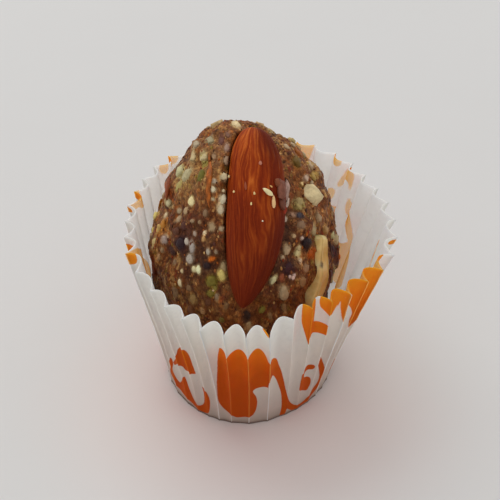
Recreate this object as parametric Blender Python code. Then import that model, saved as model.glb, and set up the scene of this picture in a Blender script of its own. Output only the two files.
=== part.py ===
"""Dried fruit pinni: a pressed ball of dried fruit and nuts in a fluted paper case, with one almond on top.

Metres, +Z up. The origin is the middle of the underside of the case, and the almond faces the front, -Y.
The case has a slightly oval plan and a rim that is pushed out of round, as soft paper is. Its pleats are
sharp folds that point outwards, with rounded valleys between them. The ball is a tall uneven egg with
crags, seeds and nut bits. The almond and the large nut slice lie in pockets of the ball.
"""

import math
import random

import bmesh
import bpy
from mathutils import Matrix, Vector, noise

MM = 0.001
GAP = 0.3 * MM
MERGE = 0.002 * MM

# Paper case
PAPER = 0.3 * MM
CASE_HEIGHT = 23.6 * MM
BASE_HALF = (11.3 * MM, 13.3 * MM)
RIM_HALF = (17.96 * MM, 21.15 * MM)
RIM_SHIFT = 1.05 * MM
PLEATS = 37
PLEAT_DEPTH = 2.0 * MM
PLEAT_DEPTH_AT_SIDES = 0.7
PLEAT_DEPTH_AT_BASE = 0.15 * MM
PLEAT_JITTER = 0.12
PLEAT_WIDTH_JITTER = 0.06
# Single ridges that differ: how far each stands out, and its shift in degrees
OWN_RIDGES = {
    2: (0.0, 1.8), 3: (0.45, 1.5), 4: (0.65, 1.0),
    31: (0.6, 1.0), 32: (0.35, 2.5), 33: (0.35, 2.5), 34: (0.6, 1.2),
}
VALLEY_POWER = 0.75
PLEAT_SEED = 5
STEPS_PER_PLEAT = 6
WALL_LEVELS = (0.0, 0.12, 0.4, 0.7, 1.0)
FLARE = 1.12
FIRST_RIDGE = -93.7
TIGHT_PLEATS_AT = -100.0
TIGHT_PLEATS_SPREAD = 27.0
TIGHT_PLEATS_BY = 0.17
PLEAT_LEAN = {
    -155: 0.0, -120: 1.2, -102: 0.5, -94: 4.2, -85: 8.4, -76: 11.9, -66: 11.5, -56: 12.2,
    -30: 9.0, 20: 4.0, 80: 0.0,
}
BASE_PUSH = 0.16
RIM_PUSH = {
    -160: -0.4, -140: 0.6, -122: 1.6, -105: 2.0, -88: 1.8, -77: 0.4, -67: -0.9, -57: -1.1, -46: -0.9,
    -35: -0.5, -22: 0.3, -8: 0.5, 10: 0.2, 30: -0.4, 60: 0.2, 95: 0.2, 135: -0.5, 165: -1.0, 180: -0.9,
}

# Ball
BALL_HALF = (12.45 * MM, 15.0 * MM)
BALL_MIDDLE = Vector((-0.75, 0.0, 18.0)) * MM
BALL_TOP = 38.5 * MM
BALL_REST = PAPER + GAP
BALL_LEAN = 0.006
BALL_TOP_SLOPE = 0.2
TOP_POWER = 1.76
BOTTOM_POWER = 1.9
BALL_DETAIL = 4
BALL_FINE_ABOVE = -0.4
CRAGS = ((9.0 * MM, 0.8 * MM), (3.8 * MM, 0.9 * MM), (2.1 * MM, 0.6 * MM))
DENT_REACH = 2.2 * MM
DENT_DEPTH = 0.55 * MM
SWELL_AT = Vector((8.6, 4.4, 28.2)) * MM
SWELL_REACH = 9.0 * MM
SWELL_RISE = 1.15 * MM

# Almond
ALMOND_LENGTH = 23.9 * MM
ALMOND_HALF = (3.95 * MM, 3.3 * MM)
ALMOND_MIDDLE = Vector((0.0, -8.0, 30.35)) * MM
ALMOND_LIE = Vector((0.06, 0.71, 0.70))
ALMOND_BEND = 1.7 * MM
ALMOND_BOW = 1.0 * MM
ALMOND_RIDGES = 13
ALMOND_RIDGE = 0.1 * MM
ALMOND_BLUNT_POWERS = (2.8, 1.0 / 2.35)
ALMOND_TIP_POWERS = (2.0, 1.0 / 1.5)
ALMOND_THICK_POWER = 0.8

# Nut slice
SLICE_HALF = (5.1 * MM, 1.22 * MM, 1.1 * MM)
SLICE_SEAT = (-34.0, 21.4)
SLICE_TURN = -30.0
SLICE_PROUD = 0.4 * MM
SLICE_CURVE = 16.0 * MM
SLICE_TAPER = 0.35
SLICE_WOBBLE = 0.25 * MM
SLICE_WAVES = 5.0
SLICE_EDGE = 0.5 * MM

# Seeds and bits that show: kind, azimuth and height on the ball in mm, length and width in mm, turn
BITS = (
    ("nut", -19, 31.1, 3.0, 2.4, 10), ("nut", -46, 33.6, 4.2, 2.0, -12), ("nut", -159, 33.2, 3.4, 1.8, 20),
    ("nut", -142, 34.9, 2.2, 1.3, 15), ("nut", -123, 24.8, 1.6, 1.2, 40), ("nut", -104, 25.4, 1.6, 1.3, 0),
    ("nut", -111, 23.6, 2.2, 1.6, 70), ("nut", -110, 21.6, 1.6, 1.2, 20), ("nut", -65, 22.0, 2.4, 1.5, 5),
    ("nut", -50, 27.3, 1.7, 1.2, 30), ("nut", -161, 20.8, 4.0, 1.8, 5), ("nut", -103, 19.9, 1.8, 1.3, 60),
    ("sliver", -133, 34.6, 7.6, 1.2, 32),
    ("nut", 4, 31.3, 1.8, 1.2, 0), ("nut", 111, 38.0, 1.8, 1.4, 30),
    ("seed", -139, 32.2, 1.5, 1.0, 30), ("seed", -115, 35.9, 1.6, 1.0, 80),
    ("seed", -108, 33.8, 1.5, 1.0, 50), ("seed", -164, 29.6, 1.5, 1.0, 10),
    ("seed", -160, 27.6, 1.6, 1.1, 60), ("seed", -132, 21.8, 1.6, 1.1, 70),
    ("seed", -72, 24.4, 1.5, 1.1, 20), ("seed", -127, 27.9, 1.5, 1.0, 15),
    ("seed", -53, 25.6, 1.5, 1.1, 80),
)
SLIVER_CURVE = 12.0 * MM
SLIVER_TAPER = 1.6
NUT_KNOCKS = (0.74, 1.08)
NUT_EDGE = 0.2
SEED_NARROW_END = 0.5
SINK = {"nut": -0.12, "seed": 0.1, "sliver": -0.1}
SCATTER = 34
SCATTER_LOWEST = 15.0 * MM
SCATTER_SPACING = 2.6 * MM
SCATTER_SIZES = (2.4, 1.4)
SCATTER_WIDTH = 0.68
SCATTER_OFF_ALMOND = 1.8 * MM
SCATTER_OFF_SLICE = 4.2 * MM
SCATTER_BELOW_TOP = 0.8 * MM
SCATTER_SEED = 7
BITS_SEED = 3
ALMOND_SEEDS = ((-1.2, 3.4, -55.0), (-2.2, 2.0, -5.0))
ALMOND_SEED_SIZE = (1.9 * MM, 1.1 * MM)


def clear_scene():
    for piece in list(bpy.data.objects):
        bpy.data.objects.remove(piece, do_unlink=True)


def material(name, colour, roughness):
    finish = bpy.data.materials.new(name)
    finish.use_nodes = True
    shader = finish.node_tree.nodes["Principled BSDF"]
    shader.inputs["Base Color"].default_value = (*colour, 1.0)
    shader.inputs["Roughness"].default_value = roughness
    shader.inputs["Metallic"].default_value = 0.0
    finish.diffuse_color = (*colour, 1.0)
    return finish


def piece_from(bm, name, finish=None):
    """Turn a bmesh into a named object with outward faces."""
    bmesh.ops.recalc_face_normals(bm, faces=bm.faces)
    mesh = bpy.data.meshes.new(name)
    bm.to_mesh(mesh)
    bm.free()
    if finish:
        mesh.materials.append(finish)
    piece = bpy.data.objects.new(name, mesh)
    bpy.context.scene.collection.objects.link(piece)
    return piece


def apply_modifiers(piece):
    """Replace an object's mesh by what its modifiers make of it."""
    bpy.context.view_layer.update()
    graph = bpy.context.evaluated_depsgraph_get()
    solid = bpy.data.meshes.new_from_object(piece.evaluated_get(graph))
    piece.modifiers.clear()
    piece.data = solid


def between(table, azimuth):
    """Read a table of azimuths in degrees, with a smooth step from each entry to the next."""
    stops = sorted(table)
    turn = (azimuth - stops[0]) % 360.0 + stops[0]
    for low, high in zip(stops, stops[1:] + [stops[0] + 360.0]):
        if turn <= high:
            share = (turn - low) / (high - low)
            ease = share * share * (3.0 - 2.0 * share)
            after = table[stops[0]] if high > stops[-1] else table[high]
            return table[low] + (after - table[low]) * ease
    return table[stops[0]]


# Paper case

def ridge_azimuths():
    """Where each outward fold stands, in degrees: the pleats are tighter where the front was pushed out."""
    rng = random.Random(PLEAT_SEED)
    widths = []
    for index in range(PLEATS):
        azimuth = FIRST_RIDGE + 360.0 * index / PLEATS
        off = (azimuth - TIGHT_PLEATS_AT + 180.0) % 360.0 - 180.0
        tight = TIGHT_PLEATS_BY * math.exp(-(off / TIGHT_PLEATS_SPREAD) ** 2)
        widths.append((1.0 - tight) * (1.0 + rng.uniform(-PLEAT_WIDTH_JITTER, PLEAT_WIDTH_JITTER)))
    scale = 360.0 / sum(widths)
    ridges = [FIRST_RIDGE]
    for width in widths:
        ridges.append(ridges[-1] + width * scale)
    for index, (_, shift) in OWN_RIDGES.items():
        ridges[index] += shift
    return ridges


def case_point(azimuth, fold, level):
    """One point of the outer skin: fold is 1 on a ridge and -1 in a valley, level is 1 at the rim."""
    azimuth += between(PLEAT_LEAN, azimuth) * (1.0 - level)
    turn = math.radians(azimuth)
    push = between(RIM_PUSH, azimuth) * MM
    deepest = PLEAT_DEPTH * (PLEAT_DEPTH_AT_SIDES + (1.0 - PLEAT_DEPTH_AT_SIDES) * abs(math.sin(turn)))
    depth = PLEAT_DEPTH_AT_BASE + (deepest - PLEAT_DEPTH_AT_BASE) * level
    out = push * (BASE_PUSH + (1.0 - BASE_PUSH) * level ** 2) + 0.5 * depth * fold
    spread = level ** FLARE
    half_x = BASE_HALF[0] + (RIM_HALF[0] - BASE_HALF[0]) * spread + out
    half_y = BASE_HALF[1] + (RIM_HALF[1] - BASE_HALF[1]) * spread + out
    return Vector((RIM_SHIFT * level + half_x * math.cos(turn), half_y * math.sin(turn), 0.0))


def case_height(azimuth, fold):
    """The paper is one disc, so where the wall leans out further, its edge stands lower."""
    slant = math.hypot(CASE_HEIGHT, RIM_HALF[1] - BASE_HALF[1])
    lean = (case_point(azimuth, fold, 1.0) - case_point(azimuth, fold, 0.0)).length
    return math.sqrt(slant ** 2 - lean ** 2)


def paper_case():
    """A flat base ring, drawn up level by level into the pleated wall, then given the paper's thickness."""
    rng = random.Random(PLEAT_SEED)
    depths = [1.0 + rng.uniform(-PLEAT_JITTER, PLEAT_JITTER) for _ in range(PLEATS)]
    for index, (depth, _) in OWN_RIDGES.items():
        depths[index] = depth
    ridges = ridge_azimuths()
    columns = []
    for index in range(PLEATS):
        for step in range(STEPS_PER_PLEAT):
            share = step / STEPS_PER_PLEAT
            azimuth = ridges[index] + (ridges[index + 1] - ridges[index]) * share
            own = depths[index] * (1.0 - share) + depths[(index + 1) % PLEATS] * share
            inward = math.sin(math.pi * share) ** VALLEY_POWER
            columns.append((azimuth, own * (1.0 - inward) - inward))

    bm = bmesh.new()
    ring = bmesh.ops.create_circle(bm, cap_ends=True, segments=len(columns), radius=BASE_HALF[0])["verts"]
    ring.sort(key=lambda vert: vert.index)
    for level in WALL_LEVELS:
        if level > 0.0:
            edges = [bm.edges.get((ring[i - 1], ring[i])) for i in range(len(ring))]
            drawn = bmesh.ops.extrude_edge_only(bm, edges=edges)["geom"]
            new = {vert for vert in drawn if isinstance(vert, bmesh.types.BMVert)}
            ring = [next(edge.other_vert(vert) for edge in vert.link_edges if edge.other_vert(vert) in new)
                    for vert in ring]
        for vert, (azimuth, fold) in zip(ring, columns):
            vert.co = case_point(azimuth, fold, level)
            vert.co.z = case_height(azimuth, fold) * level
    case = piece_from(bm, "paper_case", material("paper", (0.80, 0.79, 0.80), 0.75))
    wall = case.modifiers.new("paper thickness", "SOLIDIFY")
    wall.thickness = PAPER
    wall.offset = -1.0
    wall.use_even_offset = True
    apply_modifiers(case)
    case.data.shade_smooth()
    case.data.set_sharp_from_angle(angle=math.radians(35.0))
    return case


# Ball

def ball_core(direction):
    """The smooth egg along a direction that is measured in half sizes, and its outward normal."""
    upper = direction.z > 0.0
    power = TOP_POWER if upper else BOTTOM_POWER
    height = BALL_TOP - BALL_MIDDLE.z if upper else BALL_MIDDLE.z
    flat = math.hypot(direction.x, direction.y)
    size = (abs(direction.z) ** power + flat ** power) ** (-1.0 / power)
    unit = direction * size
    point = Vector((unit.x * BALL_HALF[0], unit.y * BALL_HALF[1], unit.z * height))
    if upper:
        point.z -= BALL_TOP_SLOPE * point.x * unit.z ** 2
    point.x += BALL_LEAN * point.z
    flat *= size
    steep = flat ** (power - 2.0) if flat > 0.0 else 0.0
    normal = Vector((unit.x * steep / BALL_HALF[0], unit.y * steep / BALL_HALF[1],
                     math.copysign(abs(unit.z) ** (power - 1.0) / height, unit.z)))
    return BALL_MIDDLE + point, normal.normalized()


def almond_frame():
    """Places the almond: its Z runs to the blunt end, its Y out of the ball and its X to the left."""
    along = ALMOND_LIE.normalized()
    out = Vector((1.0, 0.0, 0.0)).cross(along).normalized()
    left = out.cross(along)
    turn = Matrix((left, out, along)).transposed()
    return Matrix.Translation(ALMOND_MIDDLE) @ turn.to_4x4()


def almond_half(share):
    """Half width at a share of the half length: -1 is the pointed tip, 1 the blunt end."""
    inner, outer = ALMOND_BLUNT_POWERS if share > 0.0 else ALMOND_TIP_POWERS
    return max(0.0, 1.0 - abs(share) ** inner) ** outer


def beside_almond(point):
    """How far a point lies outside the almond's outline, seen along its own Y; inside is zero."""
    local = almond_frame().inverted() @ point
    if local.y < -ALMOND_HALF[1]:
        return 1.0
    share = max(-1.0, min(1.0, 2.0 * local.z / ALMOND_LENGTH))
    middle = -ALMOND_BOW * (1.0 - share ** 2)
    side = max(0.0, abs(local.x - middle) - ALMOND_HALF[0] * almond_half(share))
    end = max(0.0, abs(local.z) - ALMOND_LENGTH / 2.0)
    return math.hypot(side, end)


def ball_point(direction):
    """The craggy surface along a direction: the egg, its right shoulder, its crags, the almond's dent."""
    point, normal = ball_core(direction)
    near = max(0.0, 1.0 - (point - SWELL_AT).length / SWELL_REACH)
    rise = SWELL_RISE * near * near * (3.0 - 2.0 * near)
    for size, height in CRAGS:
        rise += height * noise.noise(point / size)
    dent = max(0.0, 1.0 - beside_almond(point) / DENT_REACH)
    point = point + normal * (rise - DENT_DEPTH * dent)
    point.z = max(point.z, BALL_REST)
    return point, normal


def seat(azimuth, height, turn):
    """A frame on the ball: Z points out, X runs down the slope, turned by a few degrees."""
    rise = height - BALL_MIDDLE.z
    upper = rise > 0.0
    power = TOP_POWER if upper else BOTTOM_POWER
    share = min(1.0, abs(rise) / (BALL_TOP - BALL_MIDDLE.z if upper else BALL_MIDDLE.z))
    flat = (1.0 - share ** power) ** (1.0 / power)
    angle = math.radians(azimuth)
    direction = Vector((flat * math.cos(angle), flat * math.sin(angle), math.copysign(share, rise)))
    point, normal = ball_point(direction.normalized())
    down = Vector((0.0, 0.0, -1.0))
    down = (down - normal * down.dot(normal)).normalized()
    frame = Matrix((down, normal.cross(down), normal)).transposed().to_4x4()
    return Matrix.Translation(point) @ frame @ Matrix.Rotation(math.radians(turn), 4, "Z")


def seed(_, length, width):
    """A seed: a small flattened grain with one end narrower. It needs no random draw."""
    bm = bmesh.new()
    bmesh.ops.create_uvsphere(bm, u_segments=6, v_segments=4, radius=0.5)
    bmesh.ops.rotate(bm, verts=bm.verts, matrix=Matrix.Rotation(math.radians(90.0), 3, "Y"))
    for vert in bm.verts:
        narrow = 1.0 - (1.0 - SEED_NARROW_END) * (vert.co.x + 0.5)
        vert.co = Vector((vert.co.x * length, vert.co.y * width * narrow * 1.3, vert.co.z * width * 0.75))
    return bm


def nut_bit(rng, length, width):
    """A broken bit of nut: a block with its corners knocked about and its edges taken off."""
    bm = bmesh.new()
    bmesh.ops.create_cube(bm, size=1.0)
    for vert in bm.verts:
        knock = Vector([rng.uniform(*NUT_KNOCKS) for _ in range(3)])
        vert.co = Vector((vert.co.x * length, vert.co.y * width, vert.co.z * width * 0.9)) * knock
    bmesh.ops.bevel(bm, geom=bm.edges[:], offset=width * NUT_EDGE, segments=1, profile=0.5, affect="EDGES",
                    material=-1)
    return bm


def sliver(_, length, width):
    """A thin strip of dried fruit, bent to lie along the ball. It needs no random draw."""
    bm = bmesh.new()
    bmesh.ops.create_cube(bm, size=1.0)
    long_edges = [edge for edge in bm.edges if abs(edge.verts[0].co.x - edge.verts[1].co.x) > 0.5]
    bmesh.ops.subdivide_edges(bm, edges=long_edges, cuts=4, use_grid_fill=True)
    for vert in bm.verts:
        taper = 1.0 - SLIVER_TAPER * vert.co.x ** 2
        place = vert.co.x * length
        bend = place ** 2 / (2.0 * SLIVER_CURVE)
        vert.co = Vector((place, vert.co.y * width * taper, vert.co.z * width * 0.8 - bend))
    return bm


def fuse(piece, operands, how):
    """One Boolean against a whole collection, applied, after which the collection's objects are removed."""
    group = bpy.data.collections.new(how)
    bpy.context.scene.collection.children.link(group)
    for operand in operands:
        bpy.context.scene.collection.objects.unlink(operand)
        group.objects.link(operand)
        operand.hide_render = True
        operand.display_type = "WIRE"
    join = piece.modifiers.new(how, "BOOLEAN")
    join.operation = how
    join.operand_type = "COLLECTION"
    join.collection = group
    join.solver = "EXACT"
    apply_modifiers(piece)
    for operand in operands:
        bpy.data.objects.remove(operand, do_unlink=True)
    bpy.data.collections.remove(group)


def clean_solid(piece):
    """Close up points that coincide, then drop loose scraps: only the body with the most points stays."""
    bm = bmesh.new()
    bm.from_mesh(piece.data)
    bmesh.ops.dissolve_degenerate(bm, edges=bm.edges, dist=MERGE)
    unseen = set(bm.verts)
    bodies = []
    while unseen:
        front = [unseen.pop()]
        body = set(front)
        while front:
            vert = front.pop()
            for edge in vert.link_edges:
                other = edge.other_vert(vert)
                if other in unseen:
                    unseen.remove(other)
                    body.add(other)
                    front.append(other)
        bodies.append(body)
    bodies.sort(key=len)
    for body in bodies[:-1]:
        bmesh.ops.delete(bm, geom=list(body), context="VERTS")
    bm.to_mesh(piece.data)
    bm.free()


def scattered_bits():
    """More seeds and bits over the whole of what stands clear of the case, largest first and evenly apart."""
    rng = random.Random(SCATTER_SEED)
    taken = [seat(azimuth, height * MM, 0.0).translation for _, azimuth, height, _, _, _ in BITS]
    slice_frame = seat(SLICE_SEAT[0], SLICE_SEAT[1] * MM, SLICE_TURN)
    steps = (-1.0, -0.5, 0.0, 0.5, 1.0)
    slice_line = [slice_frame @ Vector((step * SLICE_HALF[0], 0.0, 0.0)) for step in steps]
    bits = []
    while len(bits) < SCATTER:
        azimuth = rng.uniform(-180.0, 180.0)
        height = rng.uniform(SCATTER_LOWEST, BALL_TOP - SCATTER_BELOW_TOP)
        place = seat(azimuth, height, 0.0).translation
        if min((place - other).length for other in taken) < SCATTER_SPACING:
            continue
        if min((place - other).length for other in slice_line) < SCATTER_OFF_SLICE:
            continue
        if beside_almond(place) < SCATTER_OFF_ALMOND:
            continue
        taken.append(place)
        size = SCATTER_SIZES[0] + (SCATTER_SIZES[1] - SCATTER_SIZES[0]) * len(bits) / SCATTER
        kind = "nut" if len(bits) % 2 == 0 else "seed"
        bits.append((kind, azimuth, height / MM, size, size * SCATTER_WIDTH, rng.uniform(0.0, 180.0)))
    return bits


def pinni_ball():
    """The pressed ball: a crag-covered egg, its seeds and nut bits fused on, then the two pockets cut."""
    bm = bmesh.new()
    bmesh.ops.create_icosphere(bm, subdivisions=BALL_DETAIL, radius=1.0)
    shown = [edge for edge in bm.edges if min(vert.co.z for vert in edge.verts) > BALL_FINE_ABOVE]
    bmesh.ops.subdivide_edges(bm, edges=shown, cuts=1, use_grid_fill=True)
    for vert in bm.verts:
        vert.co = ball_point(vert.co.normalized())[0]
    ball = piece_from(bm, "pinni_ball", material("pressed_fruit", (0.19, 0.095, 0.045), 0.6))

    shapes = {"nut": nut_bit, "seed": seed, "sliver": sliver}
    rng = random.Random(BITS_SEED)
    bits = []
    for kind, azimuth, height, length, width, turn in BITS + tuple(scattered_bits()):
        bm = shapes[kind](rng, length * MM, width * MM)
        place = seat(azimuth, height * MM, turn) @ Matrix.Translation((0.0, 0.0, SINK[kind] * width * MM))
        bmesh.ops.transform(bm, verts=bm.verts, matrix=place)
        bits.append(piece_from(bm, "bit"))
    fuse(ball, bits, "UNION")
    pockets = [almond_solid("almond_pocket", GAP + ALMOND_RIDGE), slice_solid("slice_pocket", GAP)]
    fuse(ball, pockets, "DIFFERENCE")
    clean_solid(ball)
    ball.data.shade_smooth()
    ball.data.set_sharp_from_angle(angle=math.radians(50.0))
    return ball


# Almond

def almond_solid(name, grow, finish=None):
    """The almond, or with grow the pocket that clears it: a ball drawn out into a flat drop, with grooves."""
    pocket = grow > 0.0
    bm = bmesh.new()
    bmesh.ops.create_uvsphere(bm, u_segments=20 if pocket else 2 * ALMOND_RIDGES, v_segments=14, radius=1.0)
    for vert in bm.verts:
        share = vert.co.z
        angle = math.atan2(vert.co.y, vert.co.x)
        half = almond_half(share)
        ridge = 0.0 if pocket else ALMOND_RIDGE * half * math.cos(ALMOND_RIDGES * angle)
        width = (ALMOND_HALF[0] + grow) * half + ridge
        thick = (ALMOND_HALF[1] + grow) * half ** ALMOND_THICK_POWER + ridge
        bend = ALMOND_BEND * (1.0 - share ** 2)
        bow = -ALMOND_BOW * (1.0 - share ** 2)
        vert.co = Vector((width * math.cos(angle) + bow, thick * math.sin(angle) + bend,
                          share * (ALMOND_LENGTH / 2.0 + grow)))
    bmesh.ops.transform(bm, verts=bm.verts, matrix=almond_frame())
    return piece_from(bm, name, finish)


def almond():
    """The whole almond with the two seeds that stick to it."""
    nut = almond_solid("almond", 0.0, material("almond_skin", (0.33, 0.10, 0.03), 0.5))
    seeds = []
    for across, along, turn in ALMOND_SEEDS:
        bm = seed(None, *ALMOND_SEED_SIZE)
        half = almond_half(2.0 * along * MM / ALMOND_LENGTH)
        width = ALMOND_HALF[0] * half
        thick = ALMOND_HALF[1] * half ** ALMOND_THICK_POWER
        out = ALMOND_BEND + thick * math.sqrt(1.0 - (across * MM / width) ** 2)
        tilt = math.atan2(across * MM * thick ** 2, (out - ALMOND_BEND) * width ** 2)
        stand = Matrix.Rotation(-tilt, 4, "Z") @ Matrix.Rotation(math.radians(-90.0), 4, "X")
        middle = -ALMOND_BOW * (1.0 - (2.0 * along * MM / ALMOND_LENGTH) ** 2)
        place = Matrix.Translation(Vector((across * MM + middle, out, along * MM))) @ stand
        spin = Matrix.Rotation(math.radians(90.0 - turn), 4, "Z")
        bmesh.ops.transform(bm, verts=bm.verts, matrix=almond_frame() @ place @ spin)
        seeds.append(piece_from(bm, "seed_on_almond"))
    fuse(nut, seeds, "UNION")
    clean_solid(nut)
    nut.data.shade_smooth()
    nut.data.set_sharp_from_angle(angle=math.radians(50.0))
    return nut


# Nut slice

def slice_solid(name, grow, finish=None):
    """A curved slice of pale nut, or with grow the pocket that clears it."""
    bm = bmesh.new()
    bmesh.ops.create_cube(bm, size=2.0)
    long_edges = [edge for edge in bm.edges if abs(edge.verts[0].co.x - edge.verts[1].co.x) > 1.0]
    bmesh.ops.subdivide_edges(bm, edges=long_edges, cuts=5, use_grid_fill=True)
    for vert in bm.verts:
        place = vert.co.x * (SLICE_HALF[0] + grow)
        share = max(-1.0, min(1.0, place / SLICE_HALF[0]))
        taper = 1.0 - SLICE_TAPER * share ** 2
        wobble = SLICE_WOBBLE * math.sin(SLICE_WAVES * share + 1.0)
        side = vert.co.y * (SLICE_HALF[1] * taper + grow) + wobble
        vert.co = Vector((place, side, vert.co.z * (SLICE_HALF[2] + grow) - place ** 2 / (2.0 * SLICE_CURVE)))
    bmesh.ops.bevel(bm, geom=[edge for edge in bm.edges if edge.calc_face_angle(0.0) > math.radians(50.0)],
                    offset=SLICE_EDGE, segments=2, profile=0.5, affect="EDGES", material=-1, loop_slide=True)
    frame = seat(SLICE_SEAT[0], SLICE_SEAT[1] * MM, SLICE_TURN)
    sink = Matrix.Translation((0.0, 0.0, SLICE_PROUD - SLICE_HALF[2]))
    bmesh.ops.transform(bm, verts=bm.verts, matrix=frame @ sink)
    return piece_from(bm, name, finish)


def nut_slice():
    pale = slice_solid("nut_slice", 0.0, material("pale_nut", (0.62, 0.48, 0.28), 0.55))
    pale.data.shade_smooth()
    pale.data.set_sharp_from_angle(angle=math.radians(40.0))
    return pale


clear_scene()
paper_case()
pinni_ball()
almond()
nut_slice()
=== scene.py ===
# %% [markdown]
# # Dried fruit pinni in a fluted paper case
#
# A pinni is a sweet that is pressed by hand: dates, figs, nuts and seeds are minced to a sticky paste, rolled into
# a tall ball, and set in a small paper case with an almond on its face. The CAD model already has its four solids:
# the case, the ball, the almond and a cream slice of nut. This lesson gives each of them the surface of the real
# thing. It loads the CAD model first, because every new piece is made in the same frame, in metres, with +Z up.

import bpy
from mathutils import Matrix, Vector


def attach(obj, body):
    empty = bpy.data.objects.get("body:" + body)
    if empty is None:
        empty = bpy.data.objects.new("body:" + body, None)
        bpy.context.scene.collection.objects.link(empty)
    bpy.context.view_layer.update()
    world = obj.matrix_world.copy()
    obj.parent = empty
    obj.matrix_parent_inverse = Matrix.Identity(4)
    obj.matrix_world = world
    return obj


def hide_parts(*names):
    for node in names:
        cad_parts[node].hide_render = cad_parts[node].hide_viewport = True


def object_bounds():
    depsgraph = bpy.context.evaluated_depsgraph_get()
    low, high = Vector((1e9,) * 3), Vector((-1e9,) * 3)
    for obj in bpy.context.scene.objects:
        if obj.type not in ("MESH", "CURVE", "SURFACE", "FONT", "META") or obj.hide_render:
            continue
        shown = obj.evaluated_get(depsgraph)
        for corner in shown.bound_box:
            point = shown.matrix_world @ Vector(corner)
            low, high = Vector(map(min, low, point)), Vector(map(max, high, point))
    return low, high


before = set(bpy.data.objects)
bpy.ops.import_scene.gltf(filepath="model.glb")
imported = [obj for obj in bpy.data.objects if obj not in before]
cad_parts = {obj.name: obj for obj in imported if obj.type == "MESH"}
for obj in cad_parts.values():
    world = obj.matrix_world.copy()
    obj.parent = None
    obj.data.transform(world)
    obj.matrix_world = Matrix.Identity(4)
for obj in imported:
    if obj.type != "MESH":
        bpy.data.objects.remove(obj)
CAD_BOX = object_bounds()
print("CAD nodes:", sorted(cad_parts))

# %% [markdown]
# Lengths are in metres, so a millimetre is 0.001. The four helpers below make objects, meshes and search trees.

# %% Modules and units
import math
import random

import bmesh
import bpy
import numpy as np
from mathutils import Matrix, Vector, noise
from mathutils.bvhtree import BVHTree
from mathutils.kdtree import KDTree

MM = 0.001
X_AXIS = Vector((1.0, 0.0, 0.0))
NOISE_SEED = 7
noise.seed_set(NOISE_SEED)  # without a seed, noise_vector takes its offsets from the clock


def added(name, data):
    """Make an object of a mesh, a light or a camera, and add it to the scene."""
    made = bpy.data.objects.new(name, data)
    bpy.context.scene.collection.objects.link(made)
    return made


def mesh_of(bm, name):
    """Turn a bmesh into a mesh and let it go."""
    mesh = bpy.data.meshes.new(name)
    bm.to_mesh(mesh)
    bm.free()
    return mesh


def tree_of(*meshes):
    """A search tree of one or more meshes, for rays and distances."""
    bm = bmesh.new()
    for mesh in meshes:
        bm.from_mesh(mesh)
    tree = BVHTree.FromBMesh(bm)
    bm.free()
    return tree


def rounded_mm(values, digits=1):
    """Lengths as plain numbers in mm, for the printed notes."""
    return [round(value / MM, digits) for value in values]


print("noise seed:", NOISE_SEED)

# %% [markdown]
# ## The camera
#
# The photograph looks down at the sweet from a small distance with a long lens. The camera comes first, because
# some seeds and bits are placed by the pixel where the photograph shows them: a ray is sent through that pixel, and
# the bit is laid where the ray meets the ball. A pixel is 0.14 mm wide at the ball, and the picture is 500 by 500.

# %% Camera
PIXEL = 0.14 * MM
PICTURE = 500
LENS, SENSOR = 180.0, 36.0
CAMERA_DROP = math.radians(36.3)
CAMERA_DISTANCE = 350.0 * MM
AIM_PIXELS = (1.8, 110.8)

FORWARD = Vector((0.0, math.cos(CAMERA_DROP), -math.sin(CAMERA_DROP)))
UPWARD = X_AXIS.cross(FORWARD)
AIM = X_AXIS * AIM_PIXELS[0] * PIXEL + UPWARD * AIM_PIXELS[1] * PIXEL
EYE = AIM - FORWARD * CAMERA_DISTANCE

lens = bpy.data.cameras.new("camera")
lens.lens = LENS
lens.sensor_width = SENSOR
camera = added("camera", lens)
camera.matrix_world = Matrix.Translation(EYE) @ Matrix((X_AXIS, UPWARD, -FORWARD)).transposed().to_4x4()
bpy.context.scene.camera = camera


def pixel_ray(x, y):
    """The direction in which the camera looks through a pixel of the photograph."""
    half = PICTURE / 2.0
    across = (x - half) / PICTURE * SENSOR / LENS
    up = (half - y) / PICTURE * SENSOR / LENS
    return (FORWARD + X_AXIS * across + UPWARD * up).normalized()


print("camera at", rounded_mm(EYE), "mm")

# %% [markdown]
# ## Colours
#
# Colours are easiest to name as they look in the photograph, as three numbers from 0 to 255. A shader wants the
# linear value of the paint itself, and a paint looks darker than itself where the light is below full strength.
# The helper below turns one into the other, so that all colours in this file can be read from the picture.

# %% Colour helper
LIGHT_LEVEL = 0.78
WHITEST = 0.95


def paint(red, green, blue):
    """The paint, as linear RGBA, that looks like this picture colour in the light of this scene."""
    linear = []
    for value in (red, green, blue):
        share = value / 255.0
        linear.append(share / 12.92 if share < 0.04045 else ((share + 0.055) / 1.055) ** 2.4)
    return (*[min(WHITEST, value / LIGHT_LEVEL) for value in linear], 1.0)


print("mid grey as paint:", [round(value, 3) for value in paint(128, 128, 128)])

# %% [markdown]
# A node material is a small graph. The next helper adds one node, sets its options, and fills its inputs: a value is
# typed into the input, and another node's output is linked to it. That keeps each material short enough to read.

# %% Node helpers
def node(tree, kind, inputs=None, **options):
    """Add a shader node to a tree, with its options, and its inputs by name or number."""
    made = tree.nodes.new(kind)
    for name, value in options.items():
        setattr(made, name, value)
    for name, value in (inputs or {}).items():
        if isinstance(value, bpy.types.NodeSocket):
            tree.links.new(value, made.inputs[name])
        else:
            made.inputs[name].default_value = value
    return made


def blend(tree, share, first, second, kind="MIX"):
    """Mix two colours; each may be a colour or another node's output."""
    return node(tree, "ShaderNodeMix", {"Factor": share, 6: first, 7: second},
                data_type="RGBA", blend_type=kind).outputs[2]


def sums(tree, operation, *values, clamp=False):
    """One arithmetic step."""
    return node(tree, "ShaderNodeMath", dict(enumerate(values)), operation=operation, use_clamp=clamp).outputs[0]


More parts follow.
